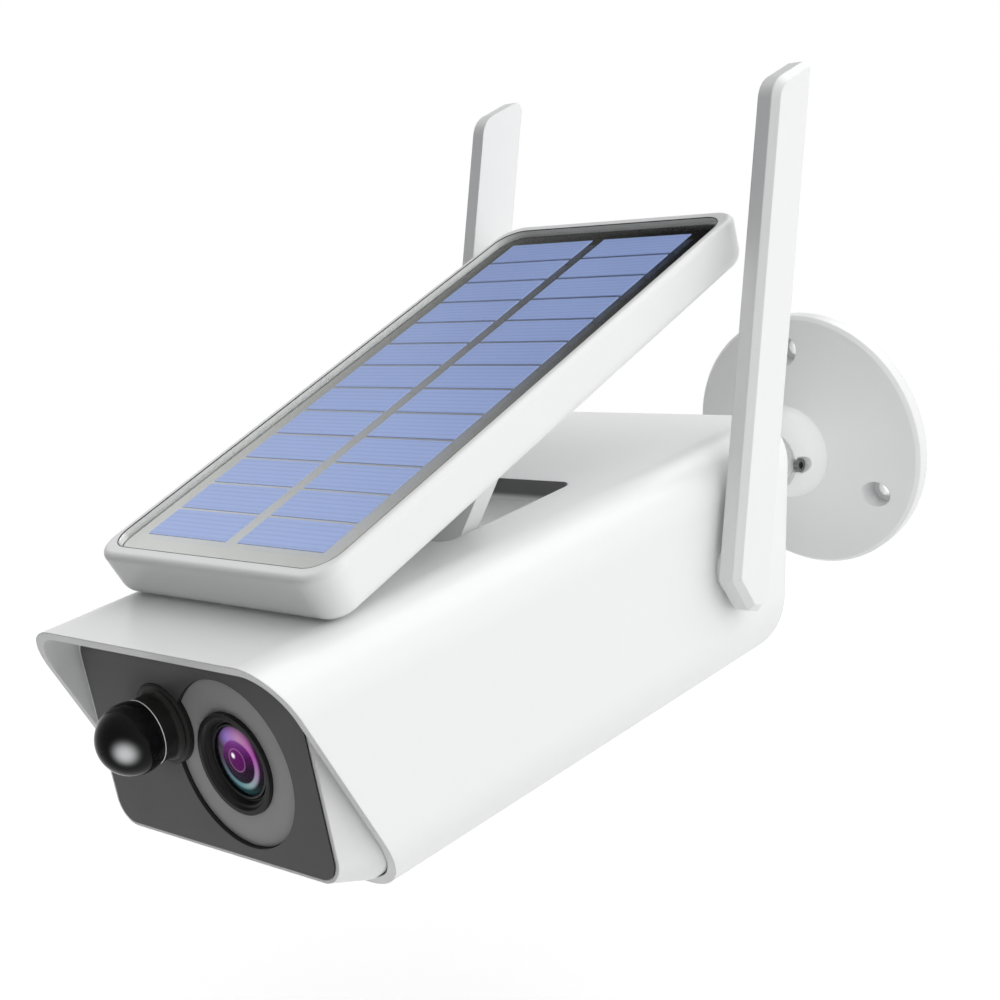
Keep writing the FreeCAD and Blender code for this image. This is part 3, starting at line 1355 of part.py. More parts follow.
def make_panel_layers():
    """Cover glass, cell sheet and the rows of silicon between them."""
    pane = new_body("panel_glass")
    face = new_sketch(pane, "top", "-glass_thickness")
    centred_box(face, "glass_width", "glass_length", "glass_radius")
    feature(pane, "Pad", face, "glass_thickness")
    place_on_panel(pane)
    publish("panel_glass", pane)
    backing = new_body("cell_sheet")
    top_gap = "(glass_thickness + 2 * glass_gap)"
    under = new_sketch(backing, "top", "-(%s + cell_sheet_thickness)" % top_gap)
    centred_box(under, "glass_width", "glass_length", "glass_radius")
    feature(backing, "Pad", under, "cell_sheet_thickness")
    place_on_panel(backing)
    publish("cell_sheet", backing)
    rows = int(size("solar_rows"))
    columns = int(size("solar_columns"))
    column_gap = size("solar_column_gap")
    row_gap = size("solar_row_gap")
    width = (size("glass_width - 2 * solar_side_margin") - (columns - 1) * column_gap) / columns
    length = (size("glass_length - 2 * solar_end_margin") - (rows - 1) * row_gap) / rows
    left = -size("glass_width / 2 - solar_side_margin")
    front = -size("glass_length / 2 - solar_end_margin")
    cells = []
    for column in range(columns):
        for row in range(rows):
            corner = FreeCAD.Vector(
                left + column * (width + column_gap),
                front + row * (length + row_gap),
                -size(top_gap))
            cells.append(Part.makeBox(width, length, size("silicon_thickness"), corner))
    place_on_panel(group("solar_cells", cells))


# ---------------------------------------------------------------- screws

def along_minus_y(shape, x, reach, z):
    """Turns a shape drawn along +Z so that it points away from the wall, and moves it."""
    shape.Placement = FreeCAD.Placement(
        FreeCAD.Vector(size(x), -size(reach), size(z)), FreeCAD.Rotation(FreeCAD.Vector(1, 0, 0), 90))
    return shape


def make_screws():
    """Screws of the stud flange, of the rear cap and of the camera board."""
    flange = []
    for angle in WALL_HOLE_ANGLES:
        x, z = polar("flange_screw_circle", angle)
        flange.append(along_minus_y(screw_shape("flange"), x, "flange_reach", z))
    group("flange_screws", flange)
    cap = []
    for x, z in CAP_SCREWS:
        for side in (-1, 1):
            cap.append(along_minus_y(
                screw_shape("cap"), "%d * %s" % (side, x), cap_head_reach(z), z))
    group("cap_screws", cap)
    board = [along_minus_y(screw_shape("board"), x, "camera_board_reach", z)
             for x, z in board_corners()]
    group("board_screws", board)


def make_everything():
    make_wall_plate()
    make_clamp_screw()
    make_ball_liner()
    make_ball_stud()
    make_outer_shell()
    make_rear_cap()
    make_front_housing()
    make_front_panel()
    make_lens_ring()
    make_lens_bezel()
    make_lens_barrel()
    make_lens_glass()
    make_camera_module()
    make_leds()
    make_motion_sensor()
    make_battery()
    make_main_board()
    make_sound()
    make_service_flap()
    make_antenna(-1)
    make_antenna(1)
    make_antenna_pivots()
    make_bracket()
    make_panel_frame()
    make_panel_layers()
    make_screws()


make_everything()
doc.recompute()

for item in doc.Objects:
    if "Invalid" in item.State or "Error" in item.State:
        raise RuntimeError("%s did not compute" % item.Label)
for name, thing in nodes.items():
    if thing.Shape.isNull() or not thing.Shape.isValid():
        raise RuntimeError("%s has no valid shape" % name)
for name, thing in nodes.items():
    thing.Shape.exportStep("parts/%s.step" % name)
    print("%-16s %3d solids %12.1f mm3" % (name, len(thing.Shape.Solids), thing.Shape.Volume))
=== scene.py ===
"""Looks of the solar security camera: materials, small pieces, light and camera.
"""

import json
import math

import bmesh
import bpy
from mathutils import Matrix, Vector


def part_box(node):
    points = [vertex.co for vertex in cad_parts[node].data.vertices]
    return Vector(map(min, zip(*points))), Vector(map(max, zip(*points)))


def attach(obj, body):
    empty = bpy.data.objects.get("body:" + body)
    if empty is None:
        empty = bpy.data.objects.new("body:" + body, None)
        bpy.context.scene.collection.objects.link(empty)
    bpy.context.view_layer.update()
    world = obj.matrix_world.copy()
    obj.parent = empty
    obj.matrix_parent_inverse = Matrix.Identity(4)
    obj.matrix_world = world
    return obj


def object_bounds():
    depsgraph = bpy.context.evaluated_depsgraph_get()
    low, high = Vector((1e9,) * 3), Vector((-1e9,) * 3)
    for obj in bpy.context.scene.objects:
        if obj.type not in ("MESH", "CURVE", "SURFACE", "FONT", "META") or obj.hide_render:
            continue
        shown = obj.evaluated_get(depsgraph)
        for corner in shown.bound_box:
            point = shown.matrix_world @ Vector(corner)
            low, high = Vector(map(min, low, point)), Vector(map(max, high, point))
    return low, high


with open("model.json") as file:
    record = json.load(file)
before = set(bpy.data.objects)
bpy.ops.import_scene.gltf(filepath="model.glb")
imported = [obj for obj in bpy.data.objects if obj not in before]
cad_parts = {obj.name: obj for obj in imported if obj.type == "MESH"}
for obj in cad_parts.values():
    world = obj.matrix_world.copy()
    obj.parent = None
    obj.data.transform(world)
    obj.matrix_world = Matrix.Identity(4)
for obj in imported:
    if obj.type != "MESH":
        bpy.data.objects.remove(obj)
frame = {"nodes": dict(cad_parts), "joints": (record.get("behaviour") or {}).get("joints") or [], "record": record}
CAD_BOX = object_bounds()
NODES = frame["nodes"]
MM = 0.001


# ---------------------------------------------------------------- places taken from the CAD

def joint(name):
    """The record's entry of a joint."""
    return next(j for j in frame["joints"] if j["name"] == name)


def middle(node):
    """Centre of a node's box."""
    low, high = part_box(node)
    return (low + high) / 2


def half_width(node):
    """Half of a node's size across X."""
    low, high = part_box(node)
    return (high.x - low.x) / 2


LENS_X = middle("lens_bezel").x
LENS_Z = middle("lens_bezel").z
GLASS_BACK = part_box("lens_glass")[1].y
GLASS_RADIUS = half_width("lens_glass")
PIR_X = middle("pir_dome").x
PIR_Z = middle("pir_dome").z
PIR_SEAM_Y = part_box("pir_dome")[1].y
PIR_RADIUS = half_width("pir_dome")
PIR_CENTRE_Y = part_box("pir_dome")[0].y + PIR_RADIUS
PANEL_TILT = math.radians(
    -joint("bracket_fold")["range_deg"][0] - joint("panel_tilt")["range_deg"][1])
PANEL_CENTRE = middle("panel_glass")
SHELL_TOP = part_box("outer_shell")[1].z
# The recess in the shell's top, into which the bracket folds.
RECESS_REAR_Y = -128.5 * MM
RECESS_FLOOR_Z = SHELL_TOP - 5.7 * MM
RECESS_HALF_WIDTH = 21.4 * MM


# ---------------------------------------------------------------- node material helper

class Shader:
    """Builds one node material; most methods add a node and return its output socket."""

    def __init__(self, name):
        self.material = bpy.data.materials.new(name)
        self.material.use_nodes = True
        self.tree = self.material.node_tree
        self.tree.nodes.clear()
        self.out = self.tree.nodes.new("ShaderNodeOutputMaterial")
        coordinates = self.node("ShaderNodeTexCoord")
        self.point = coordinates.outputs["Object"]
        self.facing = coordinates.outputs["Normal"]
        self.mirrored = coordinates.outputs["Reflection"]

    def node(self, kind, inputs=None, **settings):
        item = self.tree.nodes.new(kind)
        for key, value in settings.items():
            setattr(item, key, value)
        for key, value in (inputs or {}).items():
            if isinstance(value, bpy.types.NodeSocket):
                self.tree.links.new(value, item.inputs[key])
            else:
                item.inputs[key].default_value = value
        return item

    def noise(self, scale, detail=3, roughness=0.5, point=None):
        return self.node("ShaderNodeTexNoise", {
            "Vector": point or self.point, "Scale": scale, "Detail": detail,
            "Roughness": roughness}).outputs["Fac"]

    def math(self, operation, a, b=0.0):
        return self.node("ShaderNodeMath", {0: a, 1: b}, operation=operation).outputs[0]

    def product(self, first, *others):
        result = first
        for other in others:
            result = self.math("MULTIPLY", result, other)
        return result

    def vector(self, operation, a, b=(0, 0, 0)):
        item = self.node("ShaderNodeVectorMath", {0: a, 1: b}, operation=operation)
        return item.outputs["Value" if operation in ("DOT_PRODUCT", "LENGTH") else "Vector"]

    def spread(self, value, low, high, new_low=0.0, new_high=1.0, kind="LINEAR"):
        return self.node("ShaderNodeMapRange", {
            "Value": value, "From Min": low, "From Max": high,
            "To Min": new_low, "To Max": new_high}, interpolation_type=kind).outputs[0]

    def smooth(self, value, low, high, new_low=0.0, new_high=1.0):
        return self.spread(value, low, high, new_low, new_high, "SMOOTHSTEP")

    def parts(self, vector):
        item = self.node("ShaderNodeSeparateXYZ", {"Vector": vector})
        return item.outputs["X"], item.outputs["Y"], item.outputs["Z"]

    def local(self, origin, tilt=0.0):
        """Object point measured from origin, in axes turned by tilt about X."""
        moved = self.vector("SUBTRACT", self.point, tuple(origin))
        return self.node("ShaderNodeVectorRotate", {"Vector": moved, "Angle": -tilt},
                         rotation_type="X_AXIS").outputs["Vector"]

    def mix(self, share, a, b):
        return self.node("ShaderNodeMix", {0: share, 6: a, 7: b}, data_type="RGBA").outputs[2]

    def ramp(self, value, stops):
        item = self.node("ShaderNodeValToRGB", {"Fac": value})
        elements = item.color_ramp.elements
        while len(elements) < len(stops):
            elements.new(1.0)
        for element, (position, colour) in zip(elements, stops):
            element.position = position
            element.color = colour
        return item.outputs["Color"]

    def soft_edges(self, radius):
        return self.node("ShaderNodeBevel", {"Radius": radius}, samples=4).outputs["Normal"]

    def bump(self, height, depth, strength=1.0, below=None):
        inputs = {"Height": height, "Distance": depth, "Strength": strength}
        if below is not None:
            inputs["Normal"] = below
        return self.node("ShaderNodeBump", inputs).outputs["Normal"]

    def principled(self, **inputs):
        named = {key.replace("_", " "): value for key, value in inputs.items()}
        return self.node("ShaderNodeBsdfPrincipled", named).outputs["BSDF"]

    def blend_shaders(self, share, a, b):
        return self.node("ShaderNodeMixShader", {0: share, 1: a, 2: b}).outputs[0]

    def finish(self, shader):
        self.tree.links.new(shader, self.out.inputs["Surface"])
        return self.material


def tone(red, green=None, blue=None):
    """Opaque colour; one number gives a grey."""
    if green is None:
        green = blue = red
    return (red, green, blue, 1.0)


# ---------------------------------------------------------------- materials: housing

WHITE_LIGHT = tone(0.855, 0.858, 0.86)
WHITE_DARK = tone(0.835, 0.84, 0.842)
# Painted shade for the rear wall of the shell's recess.
RECESS_PAINTED_SHADE = tone(0.14)


def recess_shade_mask(shader):
    """Mask of painted shade: 1 on the rear wall of the shell's recess, which lies in shade, and 0 elsewhere."""
    x, y, z = shader.parts(shader.point)
    at_wall = shader.smooth(y, RECESS_REAR_Y - 0.6 * MM, RECESS_REAR_Y - 0.1 * MM)
    below_top = shader.smooth(z, SHELL_TOP + 0.2 * MM, SHELL_TOP - 0.1 * MM)
    above_floor = shader.smooth(z, RECESS_FLOOR_Z + 0.4 * MM, RECESS_FLOOR_Z + 2.2 * MM)
    in_width = shader.smooth(
        shader.math("ABSOLUTE", x), RECESS_HALF_WIDTH + 0.6 * MM, RECESS_HALF_WIDTH)
    faces_front = shader.smooth(shader.parts(shader.facing)[1], -0.2, -0.6)
    return shader.product(at_wall, below_top, above_floor, in_width, faces_front)


def white_plastic(name, painted_recess_shade=False):
    """Glossy white ABS: very fine moulded texture, faint flow mottling, uneven gloss.
    Its flag argument paints shade on the rear wall of the shell's recess."""
    shader = Shader(name)
    mottling = shader.noise(9, 1)
    colour = shader.mix(mottling, WHITE_DARK, WHITE_LIGHT)
    if painted_recess_shade:
        # Painted shade on the rear wall of the recess.
        colour = shader.mix(recess_shade_mask(shader), colour, RECESS_PAINTED_SHADE)
    gloss = shader.spread(shader.noise(14, 1), 0.0, 1.0, 0.26, 0.33)
    edges = shader.soft_edges(0.45 * MM)
    grain = shader.bump(shader.noise(1300, 1), 0.004 * MM, 0.3, edges)
    return shader.finish(shader.principled(
        Base_Color=colour, Roughness=gloss, Normal=grain))


def satin_plastic(name, light, dark, roughness, side_shade=None, texture=0.01, crevice_shade_distance=0.0,
                  shine=0.5):
    """Satin moulding with spark-eroded grain. The sides colour is painted shade for walls that don't face
    front, and the crevice distance is how far neighbours darken it with painted shade."""
    shader = Shader(name)
    colour = shader.mix(shader.spread(shader.noise(30, 4), 0.35, 0.65), dark, light)
    if side_shade is not None:
        # Painted shade: walls that don't face front take the darker sides colour.
        flat = shader.smooth(shader.math("ABSOLUTE", shader.parts(shader.facing)[1]), 0.5, 0.8)
        colour = shader.mix(flat, side_shade, colour)
    if crevice_shade_distance:
        # Painted shade: ambient occlusion darkens the colour in crevices.
        openness = shader.node("ShaderNodeAmbientOcclusion", {"Distance": crevice_shade_distance}, samples=8)
        shade = shader.math("POWER", openness.outputs["AO"], 1.8)
        colour = shader.mix(shade, tone(0.01), colour)
    gloss = shader.spread(shader.noise(60, 4), 0.3, 0.7, roughness * 0.88, roughness * 1.12)
    edges = shader.soft_edges(0.25 * MM)
    grain = shader.bump(shader.noise(2600, 1), texture * MM, 0.4, edges)
    return shader.finish(shader.principled(
        Base_Color=colour, Roughness=gloss, Specular_IOR_Level=shine, Normal=grain))


# Direction of the lamp whose reflection is painted on the dome.
DOME_PAINTED_REFLECTION_DIRECTION = Vector((0.40, -0.83, -0.39)).normalized()


def polished_dome():
    """Polished black dome. The soft round reflection of a lamp low in front and the faint bright rim
    are painted reflections in emission, so they stay the same in any light."""
    shader = Shader("gloss_black")
    # Painted reflection: emission where the mirrored view points towards the painted lamp, and a painted bright
    # rim.
    closeness = shader.vector("DOT_PRODUCT", shader.mirrored, tuple(DOME_PAINTED_REFLECTION_DIRECTION))
    painted_lamp_reflection = shader.math("POWER", shader.smooth(closeness, 0.2, 1.08), 7.0)
    outline = shader.node("ShaderNodeLayerWeight", {"Blend": 0.12}).outputs["Facing"]
    rim = shader.math("MULTIPLY", shader.smooth(outline, 0.5, 0.95), 0.5)
    glow = shader.math("MULTIPLY", shader.math("ADD", painted_lamp_reflection, rim), 0.7)
    film = shader.noise(120, 3)
    return shader.finish(shader.principled(
        Base_Color=shader.mix(film, tone(0.006), tone(0.009)),
        Roughness=shader.spread(film, 0.3, 0.7, 0.05, 0.09), Specular_IOR_Level=0.1,
        Emission_Color=tone(0.86, 0.87, 0.88), Emission_Strength=glow,
        Normal=shader.soft_edges(0.15 * MM)))


def rubber():
    shader = Shader("rubber")
    colour = shader.mix(shader.noise(60, 4), tone(0.62, 0.63, 0.64), tone(0.7, 0.71, 0.72))
    grain = shader.bump(shader.noise(1500, 3), 0.02 * MM, 0.8, shader.soft_edges(0.3 * MM))
    return shader.finish(shader.principled(
        Base_Color=colour, Roughness=shader.spread(shader.noise(90), 0.3, 0.7, 0.6, 0.8),
        Sheen_Weight=0.15, Normal=grain))


# ---------------------------------------------------------------- materials: optics

def coated_glass():
    """Front element: see-through with a purple-tinged reflection."""
    shader = Shader("coated_glass")
    tilt = shader.node("ShaderNodeFresnel", {"IOR": 1.5}).outputs[0]
    smear = shader.spread(shader.noise(140, 4), 0.4, 0.7, 0.02, 0.06)
    clear = shader.node("ShaderNodeBsdfTransparent", {"Color": tone(0.97, 0.95, 0.98)}).outputs[0]
    shine = shader.node("ShaderNodeBsdfGlossy", {
        "Color": tone(0.75, 0.55, 0.9), "Roughness": smear}).outputs[0]
    return shader.finish(shader.blend_shaders(shader.math("MULTIPLY", tilt, 0.2), clear, shine))


# Colours of the painted coating reflections round the lens, from the left by way of the bottom, the right and the
# top.
SHADE = tone(0.055, 0.045, 0.065)
TEAL = tone(0.1, 0.25, 0.26)
PALE_TEAL = tone(0.25, 0.36, 0.36)
MAGENTA = tone(0.38, 0.08, 0.36)
ROSE = tone(0.44, 0.22, 0.38)
VIOLET = tone(0.28, 0.17, 0.5)
LENS_BANDS = (
    (0.0, SHADE), (0.22, TEAL), (0.32, PALE_TEAL), (0.55, MAGENTA),
    (0.7, ROSE), (0.82, VIOLET), (0.92, SHADE))
LENS_OUTSIDE = (
    (0.0, tone(0.003)), (0.26, tone(0.001, 0.035, 0.03)), (0.4, tone(0.004)),
    (0.65, tone(0.05, 0.005, 0.05)), (0.9, tone(0.003)))
# Colours of the pupil's painted reflection, darker at the bottom and lighter at the top as a painted highlight,
# from its bottom to its top.
PUPIL_TONES = (
    (0.0, tone(0.004, 0.002, 0.006)),
    (0.35, tone(0.014, 0.001, 0.018)),
    (0.62, tone(0.065, 0.002, 0.075)),
    (0.85, tone(0.14, 0.02, 0.17)),
    (1.0, tone(0.2, 0.06, 0.27)))
# Centres of the painted reflections, (right, up) from the lens axis in shares of the glass radius.
PUPIL_CENTRE = (-0.09, -0.02)
SMALL_RING_CENTRE = (-0.13, 0.0)
GLINT_CENTRE = (-0.25, 0.12)
LENS_AXIS = (0, 0)
# Direction in which the crescent is widest, in radians from the right by way of the top.
WIDEST_BAND = 1.75


def lens_painted_reflections():
    """Painted reflections of the coated elements deep in the lens: a crescent that runs from violet
    over pink to teal round a dark purple pupil, with a painted glint. All of it is emission."""
    shader = Shader("lens_painted_reflections")
    x, _, z = shader.parts(shader.point)
    unit = GLASS_RADIUS

    def polar(centre):
        """Distance from centre, in glass radii, and angle round it."""
        across = shader.math("SUBTRACT", x, centre[0] * unit)
        up = shader.math("SUBTRACT", z, centre[1] * unit)
        square = shader.math("ADD", shader.math("MULTIPLY", across, across),
                             shader.math("MULTIPLY", up, up))
        distance = shader.math("DIVIDE", shader.math("SQRT", square), unit)
        return distance, shader.math("ARCTAN2", up, across)

    pupil, turn = polar(PUPIL_CENTRE)
    share = shader.spread(turn, -math.pi, math.pi)
    bands = shader.ramp(share, LENS_BANDS)
    outside = shader.ramp(share, LENS_OUTSIDE)
    from_widest = shader.math("SUBTRACT", turn, WIDEST_BAND)
    topness = shader.smooth(shader.math("COSINE", from_widest), 0.1, 1.0)
    inner_edge = shader.spread(topness, 0, 1, 0.635, 0.58)
    outer_edge = shader.spread(topness, 0, 1, 0.86, 1.12)
    fade = shader.smooth(pupil, shader.math("ADD", inner_edge, 0.1), outer_edge, 1.0, 0.0)
    ring = shader.mix(fade, outside, bands)

    height = shader.math("DIVIDE", z, unit)
    heart = shader.ramp(shader.spread(height, -0.62, 0.6), PUPIL_TONES)
    small, _ = polar(SMALL_RING_CENTRE)
    heart = shader.mix(shader.smooth(small, 0.33, 0.28, 0, 0.55), heart, tone(0.13, 0.0, 0.125))
    line = shader.product(shader.smooth(small, 0.29, 0.315), shader.smooth(small, 0.36, 0.33))
    heart = shader.mix(shader.math("MULTIPLY", line, 0.5), heart, tone(0.35, 0.16, 0.32))

    past_pupil = shader.smooth(
        pupil, shader.math("SUBTRACT", inner_edge, 0.02), shader.math("ADD", inner_edge, 0.04))
    colour = shader.mix(past_pupil, heart, ring)
    glint, _ = polar(GLINT_CENTRE)
    # Painted glint.
    colour = shader.mix(shader.smooth(glint, 0.11, 0.03), colour, tone(1.0, 0.95, 1.0))
    rim, _ = polar(LENS_AXIS)
    colour = shader.mix(shader.smooth(rim, 0.93, 1.0), colour, tone(0.002))
    return shader.finish(shader.principled(
        Base_Color=tone(0.004), Roughness=shader.spread(shader.noise(300), 0.3, 0.7, 0.12, 0.2),
        Specular_IOR_Level=0.05,
        Emission_Color=colour, Emission_Strength=1.0))


# ---------------------------------------------------------------- materials: solar panel

def cover_glass():
    shader = Shader("cover_glass")
    tilt = shader.node("ShaderNodeFresnel", {"IOR": 1.45}).outputs[0]
    dust = shader.spread(shader.noise(90, 5, 0.65), 0.45, 0.75, 0.03, 0.07)
    clear = shader.node("ShaderNodeBsdfTransparent", {"Color": tone(0.985, 0.99, 0.99)}).outputs[0]
    shine = shader.node("ShaderNodeBsdfGlossy", {
        "Color": tone(1.0), "Roughness": dust}).outputs[0]
    return shader.finish(shader.blend_shaders(shader.math("MULTIPLY", tilt, 0.12), clear, shine))


def mirror_backing():
    """Laminated foil behind the cells, almost a mirror, so it shows light and dark of the room."""
    shader = Shader("backing")
    ripple = shader.noise(60, 3)
    return shader.finish(shader.principled(
        Base_Color=shader.mix(ripple, tone(0.8, 0.8, 0.77), tone(0.88, 0.88, 0.86)), Metallic=1.0,
        Roughness=shader.spread(ripple, 0.3, 0.7, 0.1, 0.14),
        Normal=shader.bump(ripple, 0.01 * MM, 0.3)))


FINGER_PITCH = 1.55 * MM


def silicon():
    """Blue cells with faint clouding and fine printed fingers along the rows."""
    shader = Shader("silicon")
    panel = shader.local(PANEL_CENTRE, PANEL_TILT)
    drift = shader.noise(16, 1, point=panel)
    blue = shader.mix(drift, tone(0.41, 0.54, 1.0), tone(0.46, 0.6, 1.0))
    wave = shader.math("SINE", shader.math(
        "MULTIPLY", shader.parts(panel)[1], 2 * math.pi / FINGER_PITCH))
    finger = shader.smooth(wave, 0.3, 1.0)
    blue = shader.mix(shader.math("MULTIPLY", finger, 0.3), blue, tone(0.24, 0.3, 0.66))
    return shader.finish(shader.principled(
        Base_Color=blue, Metallic=0.3, Roughness=shader.spread(drift, 0.3, 0.7, 0.4, 0.5),
        Normal=shader.bump(finger, 0.008 * MM, 0.3)))


# ---------------------------------------------------------------- materials: inside and metal

def brushed_metal(name, light, dark, roughness):
    shader = Shader(name)
    grain = shader.noise(900, 4, 0.7)
    stain = shader.noise(70, 4)
    return shader.finish(shader.principled(
        Base_Color=shader.mix(stain, dark, light), Metallic=1.0,
        Roughness=shader.spread(grain, 0.3, 0.7, roughness * 0.8, roughness * 1.3),
        Normal=shader.bump(grain, 0.008 * MM, 0.5, shader.soft_edges(0.15 * MM))))


def circuit_board():
    """Green solder mask with lighter tracks and round pads."""
    shader = Shader("circuit")
    cells = shader.node("ShaderNodeTexVoronoi", {
        "Vector": shader.point, "Scale": 420}, distance="MANHATTAN").outputs["Distance"]
    track = shader.smooth(cells, 0.5, 0.42)
    pads = shader.node("ShaderNodeTexVoronoi", {"Vector": shader.point, "Scale": 180}).outputs[0]
    pad = shader.smooth(pads, 0.16, 0.12)
    colour = shader.mix(track, tone(0.015, 0.13, 0.05), tone(0.02, 0.19, 0.075))
    colour = shader.mix(pad, colour, tone(0.65, 0.52, 0.25))
    return shader.finish(shader.principled(
        Base_Color=colour, Metallic=shader.math("MULTIPLY", pad, 0.9), Roughness=0.35,
        Normal=shader.bump(track, 0.03 * MM, 0.5)))


def clear_epoxy():
    shader = Shader("led")
    cloud = shader.noise(400)
    return shader.finish(shader.principled(
        Base_Color=shader.mix(cloud, tone(0.7, 0.7, 0.66), tone(0.9, 0.9, 0.86)),
        Transmission_Weight=0.7, Roughness=shader.spread(cloud, 0, 1, 0.04, 0.12), IOR=1.5))


def shrink_sleeve():
    shader = Shader("cell_wrap")
    crease = shader.noise(220, 4)
    return shader.finish(shader.principled(
        Base_Color=shader.mix(crease, tone(0.03, 0.19, 0.36), tone(0.05, 0.26, 0.46)),
        Roughness=shader.spread(crease, 0.3, 0.7, 0.2, 0.35),
        Normal=shader.bump(crease, 0.05 * MM, 0.5)))


FINISHES = {
    "white_shell": white_plastic("white_shell"),
    # Front plate with painted shade on its side walls and in its crevices.
    "dark_panel": satin_plastic(
        "dark_panel", tone(0.105), tone(0.095), 0.42, tone(0.02), crevice_shade_distance=7 * MM),
    # Ring with painted shade on its side walls.
    "smoked_ring": satin_plastic(
        "smoked_ring", tone(0.42), tone(0.40), 0.5, tone(0.1)),
    "black_plastic": satin_plastic(
        "black_plastic", tone(0.016, 0.017, 0.015), tone(0.012), 0.38, shine=0.28),
    "gloss_black": polished_dome(),
    "black_metal": satin_plastic("black_metal", tone(0.012), tone(0.009), 0.3, texture=0.004),
    "coated_glass": coated_glass(),
    "cover_glass": cover_glass(),
    "silicon": silicon(),
    "backing": mirror_backing(),
    "circuit": circuit_board(),
    "chip": satin_plastic("chip", tone(0.03, 0.03, 0.035), tone(0.02), 0.5),
    "led": clear_epoxy(),
    "can": brushed_metal("can", tone(0.72, 0.71, 0.69), tone(0.55, 0.54, 0.53), 0.25),
    "stud": white_plastic("stud"),
    "cell_wrap": shrink_sleeve(),
    "rubber": rubber(),
}
SPECIAL_FINISHES = {
    # The shell's material paints shade on the rear wall of its recess.
    "outer_shell": white_plastic("white_shell_painted_recess_shade", painted_recess_shade=True),
    "ball_liner": white_plastic("white_liner"),
    "antenna_pivots": white_plastic("white_pivots"),
    # The clamp screw's steel is darker as painted shade in its hole.
    "clamp_screw": brushed_metal("steel_painted_hole_shade", tone(0.3), tone(0.16), 0.22),
}


def dress_nodes():
    """Gives every CAD node the finish of its record slot, or its own where it has one."""
    for part in frame["record"]["subparts"]:
        finish = SPECIAL_FINISHES.get(part["node"], FINISHES[part["material_slot"]])
        for entry in NODES[part["node"]].material_slots:
            entry.material = finish
    # The panel in the photograph doesn't mirror the antenna behind it.
    NODES["antenna_left"].visible_glossy = False


# ---------------------------------------------------------------- small pieces

def join_rings(work, near, far):
    """Faces between two rings of vertices. A ring may be one vertex repeated."""
    count = len(near)
    for n in range(count):
        m = (n + 1) % count
        corners = []
        for vert in (near[n], near[m], far[m], far[n]):
            if vert not in corners:
                corners.append(vert)
        if len(corners) > 2:
            work.faces.new(corners).smooth = True


def add_piece(name, work, place, finish, body):
    """Makes an object of the geometry in work, riding on body."""
    bmesh.ops.recalc_face_normals(work, faces=work.faces)
    mesh = bpy.data.meshes.new(name)
    work.to_mesh(mesh)
    work.free()
    mesh.materials.append(finish)
    piece = bpy.data.objects.new(name, mesh)
    piece.matrix_world = place
    bpy.context.scene.collection.objects.link(piece)
    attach(piece, body)


def turned_piece(name, outline, origin, finish, body, steps=96):
    """A turned piece about the -Y axis through origin; outline is (radius, distance forward)."""
    angles = [2 * math.pi * n / steps for n in range(steps)]
    work = bmesh.new()
    rings = []
    for radius, forward in outline:
        if radius == 0:
            rings.append([work.verts.new((0, -forward, 0))] * steps)
        else:
            rings.append([
                work.verts.new((radius * math.cos(a), -forward, radius * math.sin(a)))
                for a in angles])
    for near, far in zip(rings, rings[1:]):
        join_rings(work, near, far)
    add_piece(name, work, Matrix.Translation(origin), finish, body)


def cap_outline(radius, rise, thickness, count=14):
    """A shallow dome of the given rim radius and rise, closed at the back."""
    sphere = (radius * radius + rise * rise) / (2 * rise)
    reach = math.asin(radius / sphere)
    points = [(0.0, -thickness), (radius, -thickness)]
    for n in range(count):
        angle = reach * (1 - n / count)
        points.append((sphere * math.sin(angle), sphere * math.cos(angle) - sphere + rise))
    points.append((0.0, rise))
    return points


def ring_outline(radius, thickness, count=10):
    """Round section of a thin ring."""
    points = []
    for n in range(count + 1):
        angle = 2 * math.pi * n / count
        points.append((radius + thickness * math.cos(angle), thickness * math.sin(angle)))
    return points


INNER_ELEMENT_LEAD = 0.45 * MM
INNER_ELEMENT_RADIUS = 0.985 * GLASS_RADIUS
INNER_ELEMENT_RISE = 0.5 * MM
INNER_ELEMENT_THICKNESS = 0.3 * MM


def make_lens_elements():
    """Inner element under the clear front element, coloured with the painted lens reflections."""
    origin = Vector((LENS_X, GLASS_BACK - INNER_ELEMENT_LEAD, LENS_Z))
    outline = cap_outline(INNER_ELEMENT_RADIUS, INNER_ELEMENT_RISE, INNER_ELEMENT_THICKNESS)
    turned_piece("lens_inner_element", outline, origin, lens_painted_reflections(), "camera")


SEAM_THICKNESS = 0.11 * MM


def make_seam_painted_highlight():
    """Thin ring at the seam where the dome sits on its collar; its brightness is a painted highlight in emission.
    """
    depth = PIR_SEAM_Y - PIR_CENTRE_Y
    radius = math.sqrt(PIR_RADIUS ** 2 - depth ** 2)
    shader = Shader("seam_painted_highlight")
    shine = shader.noise(300)
    # Painted highlight: the ring glows with emission.
    finish = shader.finish(shader.principled(
        Base_Color=shader.mix(shine, tone(0.5), tone(0.65)),
        Roughness=shader.spread(shine, 0.3, 0.7, 0.25, 0.4),
        Emission_Color=tone(0.5), Emission_Strength=0.35))
    origin = Vector((PIR_X, PIR_SEAM_Y, PIR_Z))
    outline = ring_outline(radius, SEAM_THICKNESS)
    turned_piece("pir_seam_painted_highlight", outline, origin, finish, "camera")


def rounded_loop(half_across, half_along, radius, corner_steps=12):
    """Points of a rounded rectangle in the XY plane, anticlockwise."""
    points = []
    for quarter, (side_x, side_y) in enumerate(((1, 1), (-1, 1), (-1, -1), (1, -1))):
        for n in range(corner_steps + 1):
            angle = math.pi / 2 * (quarter + n / corner_steps)
            points.append(Vector((
                side_x * (half_across - radius) + radius * math.cos(angle),
                side_y * (half_along - radius) + radius * math.sin(angle), 0)))
    return points


# Size of the dark bead that paints the shade line at the cover pane's edge.
EDGE_SHADE_BEAD_RADIUS = 0.13 * MM
EDGE_SHADE_BEAD_HEIGHT = 0.3 * MM
EDGE_SHADE_BEAD_SIDES = 8
PANE_CORNER = 6.5 * MM
PANE_HALF_THICKNESS = 0.25 * MM


